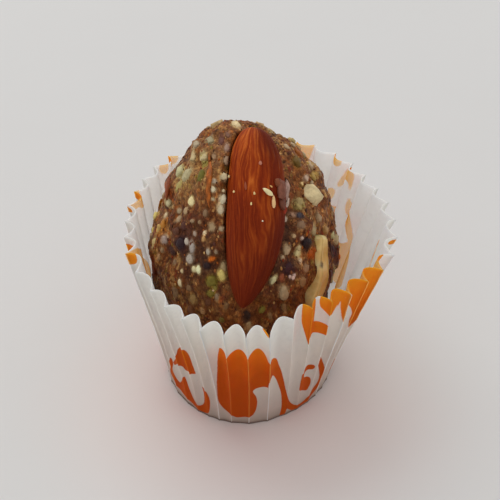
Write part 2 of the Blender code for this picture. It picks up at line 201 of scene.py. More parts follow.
def ramp(tree, value, *stops):
    """A colour ramp: each stop is a position and a colour."""
    made = node(tree, "ShaderNodeValToRGB", {0: value})
    elements = made.color_ramp.elements
    while len(elements) < len(stops):
        elements.new(0.5)
    for element, (position, colour) in zip(elements, stops):
        element.position = position
        element.color = colour
    return made.outputs[0]


def stored(tree, name, output="Fac"):
    """What the mesh stores at its points under this name."""
    return node(tree, "ShaderNodeAttribute", attribute_name=name).outputs[output]


def soft_noise(tree, place, per_metre, detail, **more):
    """Soft noise from 0 to 1."""
    inputs = {"Vector": place, "Scale": per_metre, "Detail": detail, **more}
    return node(tree, "ShaderNodeTexNoise", inputs).outputs["Fac"]


def eased(tree, value, low, high):
    """A smooth step from 0 at low to 1 at high."""
    return node(tree, "ShaderNodeMapRange", {"Value": value, "From Min": low, "From Max": high},
                interpolation_type="SMOOTHSTEP").outputs["Result"]


def raise_bumps(tree, shader, height, strength, distance):
    """Let a height tilt the light on a surface."""
    bump = node(tree, "ShaderNodeBump", {"Height": height, "Strength": strength, "Distance": distance})
    tree.links.new(bump.outputs["Normal"], shader.inputs["Normal"])


def new_material(name, **sockets):
    """A material with its shader; whatever is the same all over is set on the shader's own sockets."""
    material = bpy.data.materials.new(name)
    material.use_nodes = True
    shader = material.node_tree.nodes["Principled BSDF"]
    for socket, value in sockets.items():
        shader.inputs[socket.replace("_", " ")].default_value = value
    return material, material.node_tree, shader


print("node helpers ready")

# %% [markdown]
# Two effects are wanted on almost every surface here, so each is a node group that is built once. The first is a
# soft mottle, a brightness that wanders a little round 1, and the second is a fine grain that gives both a value
# for the colour and a height for the bump. Each material gives them its own size and strength.

# %% Shared node groups
GRAIN_EDGE = 0.3


def new_group(name, inputs, outputs):
    """A shader node group with named inputs and outputs."""
    group = bpy.data.node_groups.new(name, "ShaderNodeTree")
    for socket, kind, value in inputs:
        made = group.interface.new_socket(name=socket, in_out="INPUT", socket_type=kind)
        if value is not None:
            made.default_value = value
    for socket, kind in outputs:
        group.interface.new_socket(name=socket, in_out="OUTPUT", socket_type=kind)
    return group, group.nodes.new("NodeGroupInput").outputs, group.nodes.new("NodeGroupOutput").inputs


def soft_mottle():
    """Brightness that wanders round 1: Per Metre sets the size of the blotches and Amount their strength."""
    group, given, result = new_group("soft mottle", [
        ("Vector", "NodeSocketVector", None), ("Per Metre", "NodeSocketFloat", 300.0),
        ("Amount", "NodeSocketFloat", 0.2)], [("Value", "NodeSocketFloat")])
    blotches = soft_noise(group, given["Vector"], given["Per Metre"], 3.0, Roughness=0.6)
    centred = sums(group, "SUBTRACT", blotches, 0.5)
    swing = sums(group, "MULTIPLY", centred, given["Amount"])
    group.links.new(sums(group, "MULTIPLY_ADD", swing, 2.0, 1.0), result["Value"])
    return group


def fine_grain():
    """Minced grain: each cell has its own value, and its edge is a small crevice, which the paste paints dark as
    shade.
    """
    group, given, result = new_group("fine grain", [
        ("Vector", "NodeSocketVector", None), ("Per Metre", "NodeSocketFloat", 2500.0)],
        [("Value", "NodeSocketFloat"), ("Height", "NodeSocketFloat"), ("Crevice", "NodeSocketFloat")])
    where = {"Vector": given["Vector"], "Scale": given["Per Metre"]}
    cells = node(group, "ShaderNodeTexVoronoi", where)
    own = node(group, "ShaderNodeSeparateColor", {"Color": cells.outputs["Color"]}).outputs[0]
    edge = node(group, "ShaderNodeTexVoronoi", where, feature="DISTANCE_TO_EDGE").outputs["Distance"]
    rise = eased(group, edge, 0.0, GRAIN_EDGE)
    group.links.new(own, result["Value"])
    group.links.new(rise, result["Height"])
    group.links.new(sums(group, "SUBTRACT", 1.0, rise), result["Crevice"])
    return group


MOTTLE = soft_mottle()
GRAIN = fine_grain()


def mottled(tree, place, colour, per_metre, amount):
    """A colour multiplied by the soft mottle."""
    inputs = {"Vector": place, "Per Metre": per_metre, "Amount": amount}
    value = node(tree, "ShaderNodeGroup", inputs, node_tree=MOTTLE).outputs["Value"]
    return blend(tree, 1.0, colour, value, "MULTIPLY")


def grained(tree, place, per_metre):
    """The outputs of the fine grain: Value, Height and Crevice."""
    return node(tree, "ShaderNodeGroup", {"Vector": place, "Per Metre": per_metre}, node_tree=GRAIN).outputs


def object_place(tree, stretch=(1.0, 1.0, 1.0), turn=(0.0, 0.0, 0.0)):
    """Object coordinates, turned or stretched for a pattern."""
    place = node(tree, "ShaderNodeTexCoord").outputs["Object"]
    return node(tree, "ShaderNodeMapping", {"Vector": place, "Scale": stretch, "Rotation": turn}).outputs["Vector"]


print("node groups:", [group.name for group in (MOTTLE, GRAIN)])

# %% [markdown]
# ## Floor and light
#
# The sweet stands on a plain pale surface under a broad soft light from above, behind and a little to the left, so
# the shadows are pale and lie in front of the case. A large area light gives the soft overhead light and a pale sky
# fills the shade. The floor is a plain pale sheet, with a faint pink glow of bounced light painted round the case.

# %% Floor and light
FLOOR_HALF = 1.5
LAMP_SIZE = 0.9
LAMP_AT = Vector((-0.32, 0.57, 0.78))
LAMP_POWER = 3.05
LAMP_COLOUR = (1.0, 0.99, 0.97)
SKY_STRENGTH = 0.66
SKY_COLOUR = (1.0, 0.985, 0.98, 1.0)
FLOOR_WHITE = paint(201, 201, 200)
# Painted light: a faint pink glow of light bounced from the case, painted on the floor round it.
FLOOR_BOUNCE_GLOW = paint(206, 199, 197)
FLOOR_MOTTLE = (25.0, 0.02)
BOUNCE_GLOW_AT = (0.0, -0.012, 0.0)
BOUNCE_GLOW_REACH = (0.012, 0.034)


def floor_sheet():
    """A plain pale sheet with a faint pink glow of bounced light painted round the case."""
    bm = bmesh.new()
    bmesh.ops.create_grid(bm, x_segments=1, y_segments=1, size=FLOOR_HALF)
    floor = added("floor", mesh_of(bm, "floor"))
    material, tree, shader = new_material("floor_paper", Roughness=0.8)
    place = node(tree, "ShaderNodeTexCoord").outputs["Object"]
    beside = node(tree, "ShaderNodeVectorMath", {0: place, 1: BOUNCE_GLOW_AT}, operation="DISTANCE").outputs["Value"]
    # painted bounce light: the floor is pinker near the case
    colour = blend(tree, eased(tree, beside, *BOUNCE_GLOW_REACH), FLOOR_BOUNCE_GLOW, FLOOR_WHITE)
    tree.links.new(mottled(tree, place, colour, *FLOOR_MOTTLE), shader.inputs["Base Color"])
    floor.data.materials.append(material)


def lights():
    """The broad lamp overhead and the pale sky."""
    lamp = bpy.data.lights.new("overhead", "AREA")
    lamp.shape, lamp.size, lamp.energy, lamp.color = "SQUARE", LAMP_SIZE, LAMP_POWER, LAMP_COLOUR
    overhead = added("overhead", lamp)
    overhead.location = LAMP_AT
    overhead.rotation_euler = (-LAMP_AT).to_track_quat("-Z", "Y").to_euler()
    sky = bpy.data.worlds.new("pale room")
    sky.use_nodes = True
    background = sky.node_tree.nodes["Background"].inputs
    background["Color"].default_value = SKY_COLOUR
    background["Strength"].default_value = SKY_STRENGTH
    bpy.context.scene.world = sky


floor_sheet()
lights()
bpy.context.scene.view_settings.view_transform = "Standard"
print("floor and light ready")

# %% [markdown]
# ## Finishing a piece
#
# Every new piece ends in the same way: its mesh takes its material and becomes an object at the origin, it rides
# on the body of the CAD model, and the CAD solid that it stands for is hidden.

# %% Piece helper
def finish_piece(mesh, name, material, stands_for):
    """Make a mesh a piece of the object. The CAD solid that it stands for is hidden."""
    mesh.materials.append(material)
    mesh.shade_smooth()
    piece = added(name, mesh)
    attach(piece, "root")
    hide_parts(stands_for)
    return piece


def triangles(piece):
    """How many triangles a piece has."""
    return sum(len(face.vertices) - 2 for face in piece.data.polygons)


print("pieces stand for", sorted(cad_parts))

# %% [markdown]
# ## The paper case: its wall
#
# The case is one round sheet of thin white paper, pressed between fluted moulds. Its pleats are sharp folds that
# point outwards with smooth valleys between, and the soft wall has been pushed out of round. The CAD wall has six
# steps to a pleat; here the same wall is drawn with twelve, at the thickness of real paper, so that the folds are
# crisp and the outline of the print is clean. The numbers are those of the CAD model.

# %% Case sizes
CASE_HEIGHT = 23.6 * MM
BASE_HALF = (11.3 * MM, 13.3 * MM)
RIM_HALF = (17.96 * MM, 21.15 * MM)
RIM_SHIFT = 1.05 * MM
PLEATS = 37
PLEAT_DEPTH = 2.0 * MM
PLEAT_DEPTH_AT_SIDES = 0.7
PLEAT_DEPTH_AT_BASE = 0.15 * MM
PLEAT_JITTER = 0.12
PLEAT_WIDTH_JITTER = 0.06
OWN_RIDGES = {
    2: (0.0, 1.8), 3: (0.45, 1.5), 4: (0.65, 1.0),
    31: (0.6, 1.0), 32: (0.35, 2.5), 33: (0.35, 2.5), 34: (0.6, 1.2),
}
VALLEY_POWER = 0.75
PLEAT_SEED = 5
FLARE = 1.12
FIRST_RIDGE = -93.7
TIGHT_PLEATS_AT = -100.0
TIGHT_PLEATS_SPREAD = 27.0
TIGHT_PLEATS_BY = 0.17
PLEAT_LEAN = {
    -155: 0.0, -120: 1.2, -102: 0.5, -94: 4.2, -85: 8.4, -76: 11.9, -66: 11.5, -56: 12.2,
    -30: 9.0, 20: 4.0, 80: 0.0,
}
BASE_PUSH = 0.16
RIM_PUSH = {
    -160: -0.4, -140: 0.6, -122: 1.6, -105: 2.0, -88: 1.8, -77: 0.4, -67: -0.9, -57: -1.1, -46: -0.9,
    -35: -0.5, -22: 0.3, -8: 0.5, 10: 0.2, 30: -0.4, 60: 0.2, 95: 0.2, 135: -0.5, 165: -1.0, 180: -0.9,
}
THIN_PAPER = 0.12 * MM
COLUMNS_PER_PLEAT = 12
WALL_ROWS = 80
BASE_ROWS = 8
CRINKLES = ((3.5 * MM, 0.07 * MM), (1.3 * MM, 0.03 * MM))
CRINKLE_INWARD = 0.05 * MM
CRINKLES_GROW = 6.0
CREASE_STEPS = (0.35, 9.0, 3.0)
CREASE_SHARPNESS = 16.0
WELD = 0.001 * MM
SHARP_FOLD = math.radians(40.0)


def between(table, azimuth):
    """Read a table of azimuths in degrees, with a smooth step from each entry to the next."""
    stops = sorted(table)
    turn = (azimuth - stops[0]) % 360.0 + stops[0]
    for low, high in zip(stops, stops[1:] + [stops[0] + 360.0]):
        if turn <= high:
            share = (turn - low) / (high - low)
            ease = share * share * (3.0 - 2.0 * share)
            after = table[stops[0]] if high > stops[-1] else table[high]
            return table[low] + (after - table[low]) * ease
    return table[stops[0]]


def ridge_azimuths():
    """Where each outward fold stands, in degrees: the pleats are tighter where the front was pushed out."""
    rng = random.Random(PLEAT_SEED)
    widths = []
    for index in range(PLEATS):
        azimuth = FIRST_RIDGE + 360.0 * index / PLEATS
        off = (azimuth - TIGHT_PLEATS_AT + 180.0) % 360.0 - 180.0
        tight = TIGHT_PLEATS_BY * math.exp(-(off / TIGHT_PLEATS_SPREAD) ** 2)
        widths.append((1.0 - tight) * (1.0 + rng.uniform(-PLEAT_WIDTH_JITTER, PLEAT_WIDTH_JITTER)))
    scale = 360.0 / sum(widths)
    ridges = [FIRST_RIDGE]
    for width in widths:
        ridges.append(ridges[-1] + width * scale)
    for index, (_, shift) in OWN_RIDGES.items():
        ridges[index] += shift
    return ridges


def ridge_depths():
    """How far each outward fold stands out, as a share of the usual."""
    rng = random.Random(PLEAT_SEED)
    depths = [1.0 + rng.uniform(-PLEAT_JITTER, PLEAT_JITTER) for _ in range(PLEATS)]
    for index, (depth, _) in OWN_RIDGES.items():
        depths[index] = depth
    return depths


def case_point(azimuth, fold, level):
    """One point of the outer skin: fold is 1 on a ridge and -1 in a valley, level is 1 at the rim."""
    azimuth += between(PLEAT_LEAN, azimuth) * (1.0 - level)
    turn = math.radians(azimuth)
    push = between(RIM_PUSH, azimuth) * MM
    deepest = PLEAT_DEPTH * (PLEAT_DEPTH_AT_SIDES + (1.0 - PLEAT_DEPTH_AT_SIDES) * abs(math.sin(turn)))
    depth = PLEAT_DEPTH_AT_BASE + (deepest - PLEAT_DEPTH_AT_BASE) * level
    out = push * (BASE_PUSH + (1.0 - BASE_PUSH) * level ** 2) + 0.5 * depth * fold
    spread = level ** FLARE
    half_x = BASE_HALF[0] + (RIM_HALF[0] - BASE_HALF[0]) * spread + out
    half_y = BASE_HALF[1] + (RIM_HALF[1] - BASE_HALF[1]) * spread + out
    return Vector((RIM_SHIFT * level + half_x * math.cos(turn), half_y * math.sin(turn), 0.0))


def case_height(azimuth, fold):
    """The paper is one disc, so where the wall leans out further, its edge stands lower."""
    slant = math.hypot(CASE_HEIGHT, RIM_HALF[1] - BASE_HALF[1])
    lean = (case_point(azimuth, fold, 1.0) - case_point(azimuth, fold, 0.0)).length
    return math.sqrt(slant ** 2 - lean ** 2)


print("first ridges at", [round(azimuth, 1) for azimuth in ridge_azimuths()[:4]], "degrees")

# %% [markdown]
# ## The paper case: its print
#
# The paper is printed in one orange ink with loose flower-like forms: tulips, curls, arches and bars. Each form is a
# short outline, or a stroke with a width at each point, drawn on the unrolled wall in degrees round the case and in
# shares of its height. A doubled point is a sharp corner, and the rest is rounded by cutting corners, as a pen would
# round them. The distance from each point of the wall to the nearest outline is stored on the mesh, and the shader
# draws the ink where that distance is positive. That gives a clean edge with no image.

# %% The printed forms
ARC_PER_DEGREE = 0.283
WALL_UP = 24.0
TULIP = [(-105.9, .73), (-105.9, .73), (-101.5, .735), (-97, .745), (-92.6, .745), (-88.6, .765), (-85.6, .735),
         (-83.2, .67), (-81.2, .56), (-80.6, .45), (-80.5, .36), (-80.5, .36), (-84.5, .34), (-86.8, .34), (-89, .33),
         (-88.2, .3), (-86.4, .26), (-85.3, .21), (-85.1, .17), (-85.6, .11), (-87.8, .07), (-92.1, .06),
         (-96.1, .05), (-98.5, .05), (-101.8, .08), (-105.5, .10), (-108.2, .14), (-109.3, .2), (-109.3, .28),
         (-108.9, .39), (-107.9, .52), (-107.4, .63)]
ARCH = [(-83, .66), (-81.8, .67), (-80, .64), (-77.3, .59), (-75.8, .53), (-73.3, .46), (-70.6, .37), (-67.8, .27),
        (-65.7, .21), (-64.4, .17), (-61.7, .11), (-58.5, .07), (-56, .05), (-52.2, .035), (-48.2, .035),
        (-45.2, .055), (-42, .08), (-38.8, .11), (-37.9, .15), (-39.1, .21), (-41.9, .28), (-46, .37), (-48.4, .46),
        (-48.4, .46), (-43, .38), (-41.1, .34), (-39, .29), (-37.9, .24), (-37.3, .18), (-36.5, .11), (-36.6, .05),
        (-42.6, .02), (-46, .005), (-50.5, -.005), (-56.1, 0), (-60.3, .03), (-63.2, .06), (-62.9, .03),
        (-64.6, -.02), (-69.3, -.02), (-69.3, -.02), (-67.5, .01), (-67.1, .07), (-67.9, .14), (-69.9, .23),
        (-72.5, .3), (-75.2, .38), (-78.5, .46), (-78.5, .46), (-79.9, .44), (-80.5, .42), (-82, .52)]
CURL = [(-48.4, .36), (-51, .375), (-54.3, .385), (-57.3, .38), (-58.3, .35), (-57.8, .31), (-57.3, .26),
        (-56.5, .19), (-56.5, .19), (-47.9, .12), (-47, .15), (-46.9, .19), (-48.1, .24), (-50.3, .265),
        (-54.5, .285), (-54.5, .285), (-55.4, .32), (-54.4, .34), (-51.1, .33), (-48.5, .32)]
LEFT_BAND = [(-134.5, .48), (-132.7, .51), (-127.3, .59), (-125.6, .58), (-124.4, .53), (-124.2, .46), (-123.7, .41),
             (-123.1, .35), (-123.1, .35), (-126.5, .35), (-132.5, .30), (-134, .34), (-138, .33), (-144.6, .25),
             (-145.4, .27), (-143.1, .31), (-136.3, .41)]
STEM = [(-146.9, .31), (-148.4, .26), (-157.1, .13), (-158.6, .08), (-155.7, .05), (-146.9, .06), (-139.2, .04),
        (-133.6, .035), (-128.6, .02), (-124.4, .01), (-118.9, .015), (-116.8, .04), (-115.9, .1), (-115.5, .16),
        (-116.5, .22), (-117.5, .26), (-120.8, .25), (-120.8, .25), (-119.6, .22), (-119.6, .16), (-120.8, .09),
        (-124.4, .055), (-126.7, .055), (-129.2, .075), (-131.1, .11), (-133, .16), (-133.7, .21), (-134.3, .25),
        (-136.6, .22), (-142.3, .12), (-145.4, .125), (-147.7, .16), (-148, .2), (-145.4, .26), (-145.4, .3)]
DROP = [(-68.6, 1.02), (-68.6, 1.02), (-68.2, .96), (-67.6, .91), (-66.8, .84), (-65, .78), (-63, .71), (-61.3, .65),
        (-61.3, .65), (-58.3, .67), (-56.9, .71), (-58, .76), (-58.8, .82), (-59.6, .9), (-61.5, 1.02), (-61.5, 1.02)]
BAR = [(-58.8, .79), (-58.8, .79), (-53.8, .77), (-52.6, .77), (-52.6, .77), (-51.4, .67), (-51.4, .67),
       (-53.3, .67), (-58.8, .69), (-58.8, .69)]
HALF_DISC = [(-59, 1.02), (-59, 1.02), (-46.5, 1.02), (-46.5, 1.02), (-46.9, .84), (-47.2, .76), (-47.2, .76),
             (-53.3, .85), (-55.3, .88), (-56.8, .9), (-57.8, .92), (-58.7, .96)]
FLAME = [(-46.3, 1.02), (-46.3, 1.02), (-35, 1.02), (-19, 1.02), (-19, 1.02), (-21.5, .79), (-22.5, .57),
         (-23.1, .47), (-23.1, .47), (-31.4, .53), (-33.3, .64), (-34.1, .73), (-38.3, .80), (-40.5, .80),
         (-43, .71), (-44.4, .77), (-46.0, .85), (-47, .91)]
STREAK = [(-19.8, .19, .10), (-19.3, .12, .12), (-18.5, .05, .1)]
RIM_STRIP = [(-88.6, 1.02), (-85.4, 1.02), (-85.4, 1.02), (-85.6, .965), (-87, .985)]
print("one tulip spans", round((109.3 - 80.5) * ARC_PER_DEGREE, 1), "mm of paper")

# %% [markdown]
# The far wall is seen from inside, where the same ink shines through the paper, so the forms seen there are drawn
# too. The rest is hidden, and there the groups from the front are repeated, as a printed paper repeats its pattern.

# %% The forms round the case
SEEN_INSIDE = [
    [(52.6, 1.02), (52.0, .975), (46.3, .955), (45.6, 1.02)],
    [(45.9, .86), (45.2, .9), (44.5, .94), (43.8, .975), (40, .99), (36, 1.0), (35.8, .94), (36.0, .89), (36.9, .88),
     (37.4, .93), (40.3, .93), (43.6, .88), (44.7, .84)],
    [(49.7, .82), (46.6, .84), (45.5, .82), (46.2, .76), (47.6, .77)],
    [(36.0, .86), (34.6, .8), (29.4, .78), (27.2, .73), (25.2, .65), (26.9, .62), (29.6, .70), (35.6, .73),
     (36.8, .79)],
    [(38.5, .56), (28.3, .60), (26.2, .65), (20.4, .62), (19.2, .51), (18.9, .44), (18.5, .38), (23.2, .33),
     (34, .40), (36, .47)],
    [(-8.8, .975), (-4.4, .99), (-6.6, .93)],
    [(140.2, 1.02), (136.9, 1.02), (138.2, .945), (140.8, .95)],
    [(134.9, 1.02), (128.8, 1.02), (130.6, .94), (136.5, .965)],
    [(159.9, 1.02), (160.1, .955), (167.2, .935), (167.6, .965), (169.5, .955), (171.8, .955), (171.8, .985),
     (168, 1.005), (164.8, 1.0), (163.2, 1.02)],
    [(-171, .95), (-169, .955), (-166.5, .935), (-162, .99), (-157, 1.02), (-157.6, .93), (-160.3, .91),
     (-161.5, .95), (-165, .90), (-170.5, .91)],
    [(-163, .96), (-167, .96), (-176, .82), (-184, .68), (-184, .55), (-176, .62), (-168, .76), (-160, .88)],
]
INSIDE_STROKE = [(-1.2, .9, .10), (-1.9, .79, .13), (-1.9, .66, .10)]
FRONT_GROUP = [TULIP, ARCH, CURL]
UPPER_GROUP = [DROP, BAR, HALF_DISC, FLAME]
BACK_TURNS = (150.0, 232.0)
UPPER_TURN = 132.0


def turned(form, by):
    """The same form further round the case."""
    return [(azimuth + by, *rest) for azimuth, *rest in form]


PRINT_OUTLINES = (FRONT_GROUP + UPPER_GROUP + [LEFT_BAND, STEM, RIM_STRIP] + SEEN_INSIDE
                  + [turned(form, by) for by in BACK_TURNS for form in FRONT_GROUP]
                  + [turned(form, UPPER_TURN) for form in UPPER_GROUP])
PRINT_STROKES = [STREAK, INSIDE_STROKE]
print(len(PRINT_OUTLINES), "outlines and", len(PRINT_STROKES), "strokes")

# %% [markdown]
# The distance to an outline is the distance to its nearest side, and it counts as positive inside. For a stroke it
# is the stroke's half width less the distance to its middle line. A point takes the largest of all of them.

# %% Distance to the print
SAME_POINT = 1e-6
CUT_AT = 0.25
FAR = 1e3
NO_PRINT = -2.0


def rounded(form, closed=True, rounds=2):
    """Cut the corners of a chain of points, twice; a doubled point stays sharp."""
    points = [Vector(point) for point in form]
    for _ in range(rounds):
        cut = []
        count = len(points)
        for index in range(count if closed else count - 1):
            here, after = points[index], points[(index + 1) % count]
            if (after - here).length < SAME_POINT:
                cut += [here, after]
                continue
            before = points[index - 1]
            beyond = points[(index + 2) % count]
            sharp_here = (here - before).length < SAME_POINT or (not closed and index == 0)
            sharp_after = (beyond - after).length < SAME_POINT or (not closed and index == count - 2)
            cut.append(here if sharp_here else here.lerp(after, CUT_AT))
            cut.append(after if sharp_after else here.lerp(after, 1.0 - CUT_AT))
        points = cut
    return points


def to_segment(place, start, end):
    """Distance of many points from one segment, and how far along it the nearest point lies."""
    way = end - start
    share = np.clip((place - start) @ way / max(way @ way, 1e-12), 0.0, 1.0)
    return np.linalg.norm(place - start - share[:, None] * way, axis=1), share


def outline_distance(place, form):
    """Signed distance to an outline in mm, positive inside."""
    points = np.array([(point.x * ARC_PER_DEGREE, point.y * WALL_UP) for point in rounded([(*p, 0) for p in form])])
    nearest = np.full(len(place), FAR)
    inside = np.zeros(len(place), dtype=bool)
    for start, end in zip(points, np.roll(points, -1, axis=0)):
        nearest = np.minimum(nearest, to_segment(place, start, end)[0])
        if start[1] != end[1]:
            crosses = (start[1] > place[:, 1]) != (end[1] > place[:, 1])
            at = start[0] + (place[:, 1] - start[1]) * (end[0] - start[0]) / (end[1] - start[1])
            inside ^= crosses & (place[:, 0] < at)
    return np.where(inside, nearest, -nearest)


def stroke_distance(place, form):
    """Signed distance to a stroke in mm, positive inside its own width."""
    points = np.array([(p.x * ARC_PER_DEGREE, p.y * WALL_UP, p.z) for p in rounded(form, closed=False)])
    best = np.full(len(place), -FAR)
    for start, end in zip(points, points[1:]):
        far, share = to_segment(place, start[:2], end[:2])
        best = np.maximum(best, start[2] + (end[2] - start[2]) * share - far)
    return best


def print_distance(azimuths, levels):
    """Signed distance from points of the wall to the nearest printed edge."""
    best = np.full(len(azimuths), NO_PRINT)
    for forms, measure in ((PRINT_OUTLINES, outline_distance), (PRINT_STROKES, stroke_distance)):
        for form in forms:
            middle = sum(point[0] for point in form) / len(form)
            near = (azimuths - middle + 180.0) % 360.0 - 180.0 + middle
            place = np.stack([near * ARC_PER_DEGREE, levels * WALL_UP], axis=1)
            best = np.maximum(best, measure(place, form))
    return best


print("middle of the tulip:", round(float(print_distance(np.array([-95.0]), np.array([0.4]))[0]), 2), "mm inside")

# %% [markdown]
# White paper with orange ink over it. The ink is on the outer face and only shines through to the inner one, so the
# two faces have a material each, with its own white and ink from the bottom of the wall to the rim. Both are painted
# darker towards the bottom as painted shade and lighter towards the rim as painted light, the inner white is painted
# bright as light that comes through the paper, the ridges carry a painted highlight, and faint creases are painted
# grey as shade.

# %% Paper materials
# Painted shade: the paper and its ink are painted darker towards the bottom of the wall, darkest at the foot where it
# meets the floor, and lighter towards the rim.
PAPER_SHADE_LEVELS = (0.0, 0.03, 0.10, 0.5, 1.0)
# Painted shade: the ink is painted deeper and darker lower on the wall.
INK_SHADE_LEVELS = (0.1, 0.5, 0.75, 1.0)
OUTSIDE = {
    "lit_and_shaded_whites": ((110, 91, 82), (162, 142, 130), (188, 164, 152), (250, 206, 190), (255, 228, 214)),
    "ridge": (255, 238, 226), "shaded_inks": ((172, 60, 2), (188, 67, 2), (224, 88, 6), (255, 108, 13)),
    "edge": 0.05, "through": 0.62,
}
# The inner white is painted bright, as painted light that comes through the paper, and darker towards the bottom as
# painted shade.
INSIDE = {
    "lit_and_shaded_whites": ((234, 212, 188), (242, 219, 194), (250, 228, 202), (255, 238, 212), (255, 243, 222)),
    "ridge": (255, 246, 228), "shaded_inks": ((238, 122, 48), (240, 124, 50), (242, 128, 54), (244, 134, 60)),
    "edge": 0.10, "through": 1.0,
}
# Painted shade: faint creases are painted grey on the paper.
CREASE_SHADE_GREY = paint(160, 152, 148)
# Painted highlight: the ridges are painted paler, in the white and in the ink, where they catch the light.
RIDGE_HIGHLIGHT_INK = paint(250, 165, 80)
CREASE_SHADE_SHARE, WHITE_RIDGE_HIGHLIGHT_SHARE, INK_RIDGE_HIGHLIGHT_SHARE = 0.10, 0.8, 0.30
RIDGE_RANGE = (0.72, 1.0)
INK_RAGGED, INK_RAGGED_PER_METRE = 0.07, 2600.0
INK_PATCHES, INK_PATCHES_PER_METRE = 0.5, 190.0
FIBRES_PER_METRE = 5000.0
GLOW_COLOURS = (1.0, 0.92, 0.85)
GLOW_DEPTH = 0.0015


def printed_ink():
    """Where the ink is, from the distance stored on the wall, with a soft and slightly ragged edge."""
    group, given, result = new_group("printed ink", [
        ("Vector", "NodeSocketVector", None), ("Edge", "NodeSocketFloat", 0.05)], [("Mask", "NodeSocketFloat")])
    ragged = soft_noise(group, given["Vector"], INK_RAGGED_PER_METRE, 2.0)
    wander = sums(group, "MULTIPLY_ADD", ragged, INK_RAGGED, -INK_RAGGED / 2.0)
    shifted = sums(group, "ADD", stored(group, "print"), wander)
    low = sums(group, "MULTIPLY", given["Edge"], -1.0)
    group.links.new(eased(group, shifted, low, given["Edge"]), result["Mask"])
    return group


INK = printed_ink()


def paper_material(name, lit_and_shaded_whites, ridge, shaded_inks, edge, through):
    """Printed paper: white, with ink over it and fibres, a painted highlight on its ridges, faint creases painted
    grey as shade, and painted shade that darkens the paper and its ink towards the bottom of the wall.

    Light that comes through the paper makes it glow, and through says how much.
    """
    material, tree, shader = new_material(
        name, Roughness=0.78, Specular_IOR_Level=0.12, Subsurface_Weight=through,
        Subsurface_Radius=GLOW_COLOURS, Subsurface_Scale=GLOW_DEPTH)
    place = object_place(tree)
    ridge_highlight = eased(tree, stored(tree, "fold"), *RIDGE_RANGE)
    level = stored(tree, "level")
    # painted shade: the white is darker towards the bottom of the wall and lighter at the rim
    bare = ramp(tree, level, *zip(PAPER_SHADE_LEVELS, [paint(*white) for white in lit_and_shaded_whites]))
    # painted highlight: the white is brighter on the ridges
    bare = blend(tree, sums(tree, "MULTIPLY", ridge_highlight, WHITE_RIDGE_HIGHLIGHT_SHARE), bare, paint(*ridge))
    # painted shade: faint creases painted grey
    bare = blend(tree, sums(tree, "MULTIPLY", stored(tree, "crease"), CREASE_SHADE_SHARE), bare, CREASE_SHADE_GREY)
    patch = soft_noise(tree, place, INK_PATCHES_PER_METRE, 2.0)
    centred = sums(tree, "SUBTRACT", level, INK_PATCHES / 2.0)
    # painted shade: the ink is darker lower on the wall
    coat = ramp(tree, sums(tree, "MULTIPLY_ADD", patch, INK_PATCHES, centred),
                *zip(INK_SHADE_LEVELS, [paint(*ink) for ink in shaded_inks]))
    # painted highlight: the ink is paler on the ridges
    coat = blend(tree, sums(tree, "MULTIPLY", ridge_highlight, INK_RIDGE_HIGHLIGHT_SHARE), coat, RIDGE_HIGHLIGHT_INK)
    mask = node(tree, "ShaderNodeGroup", {"Vector": place, "Edge": edge}, node_tree=INK).outputs["Mask"]
    colour = blend(tree, mask, bare, coat)
    tree.links.new(mottled(tree, place, colour, 900.0, 0.035), shader.inputs["Base Color"])
    raise_bumps(tree, shader, soft_noise(tree, place, FIBRES_PER_METRE, 3.0), 0.25, 0.04 * MM)
    return material


print("node group:", INK.name)

# %% [markdown]
# The wall starts as a flat grid: one side of it runs round the case and the other up it. Each point is then moved
# to its place on the pleated wall, the lowest rows make the flat base, and the seam and the middle are welded. The
# ridges, the ink and the creases are stored on the points for the shader. A Solidify modifier gives the thickness,
# with the second material inside.

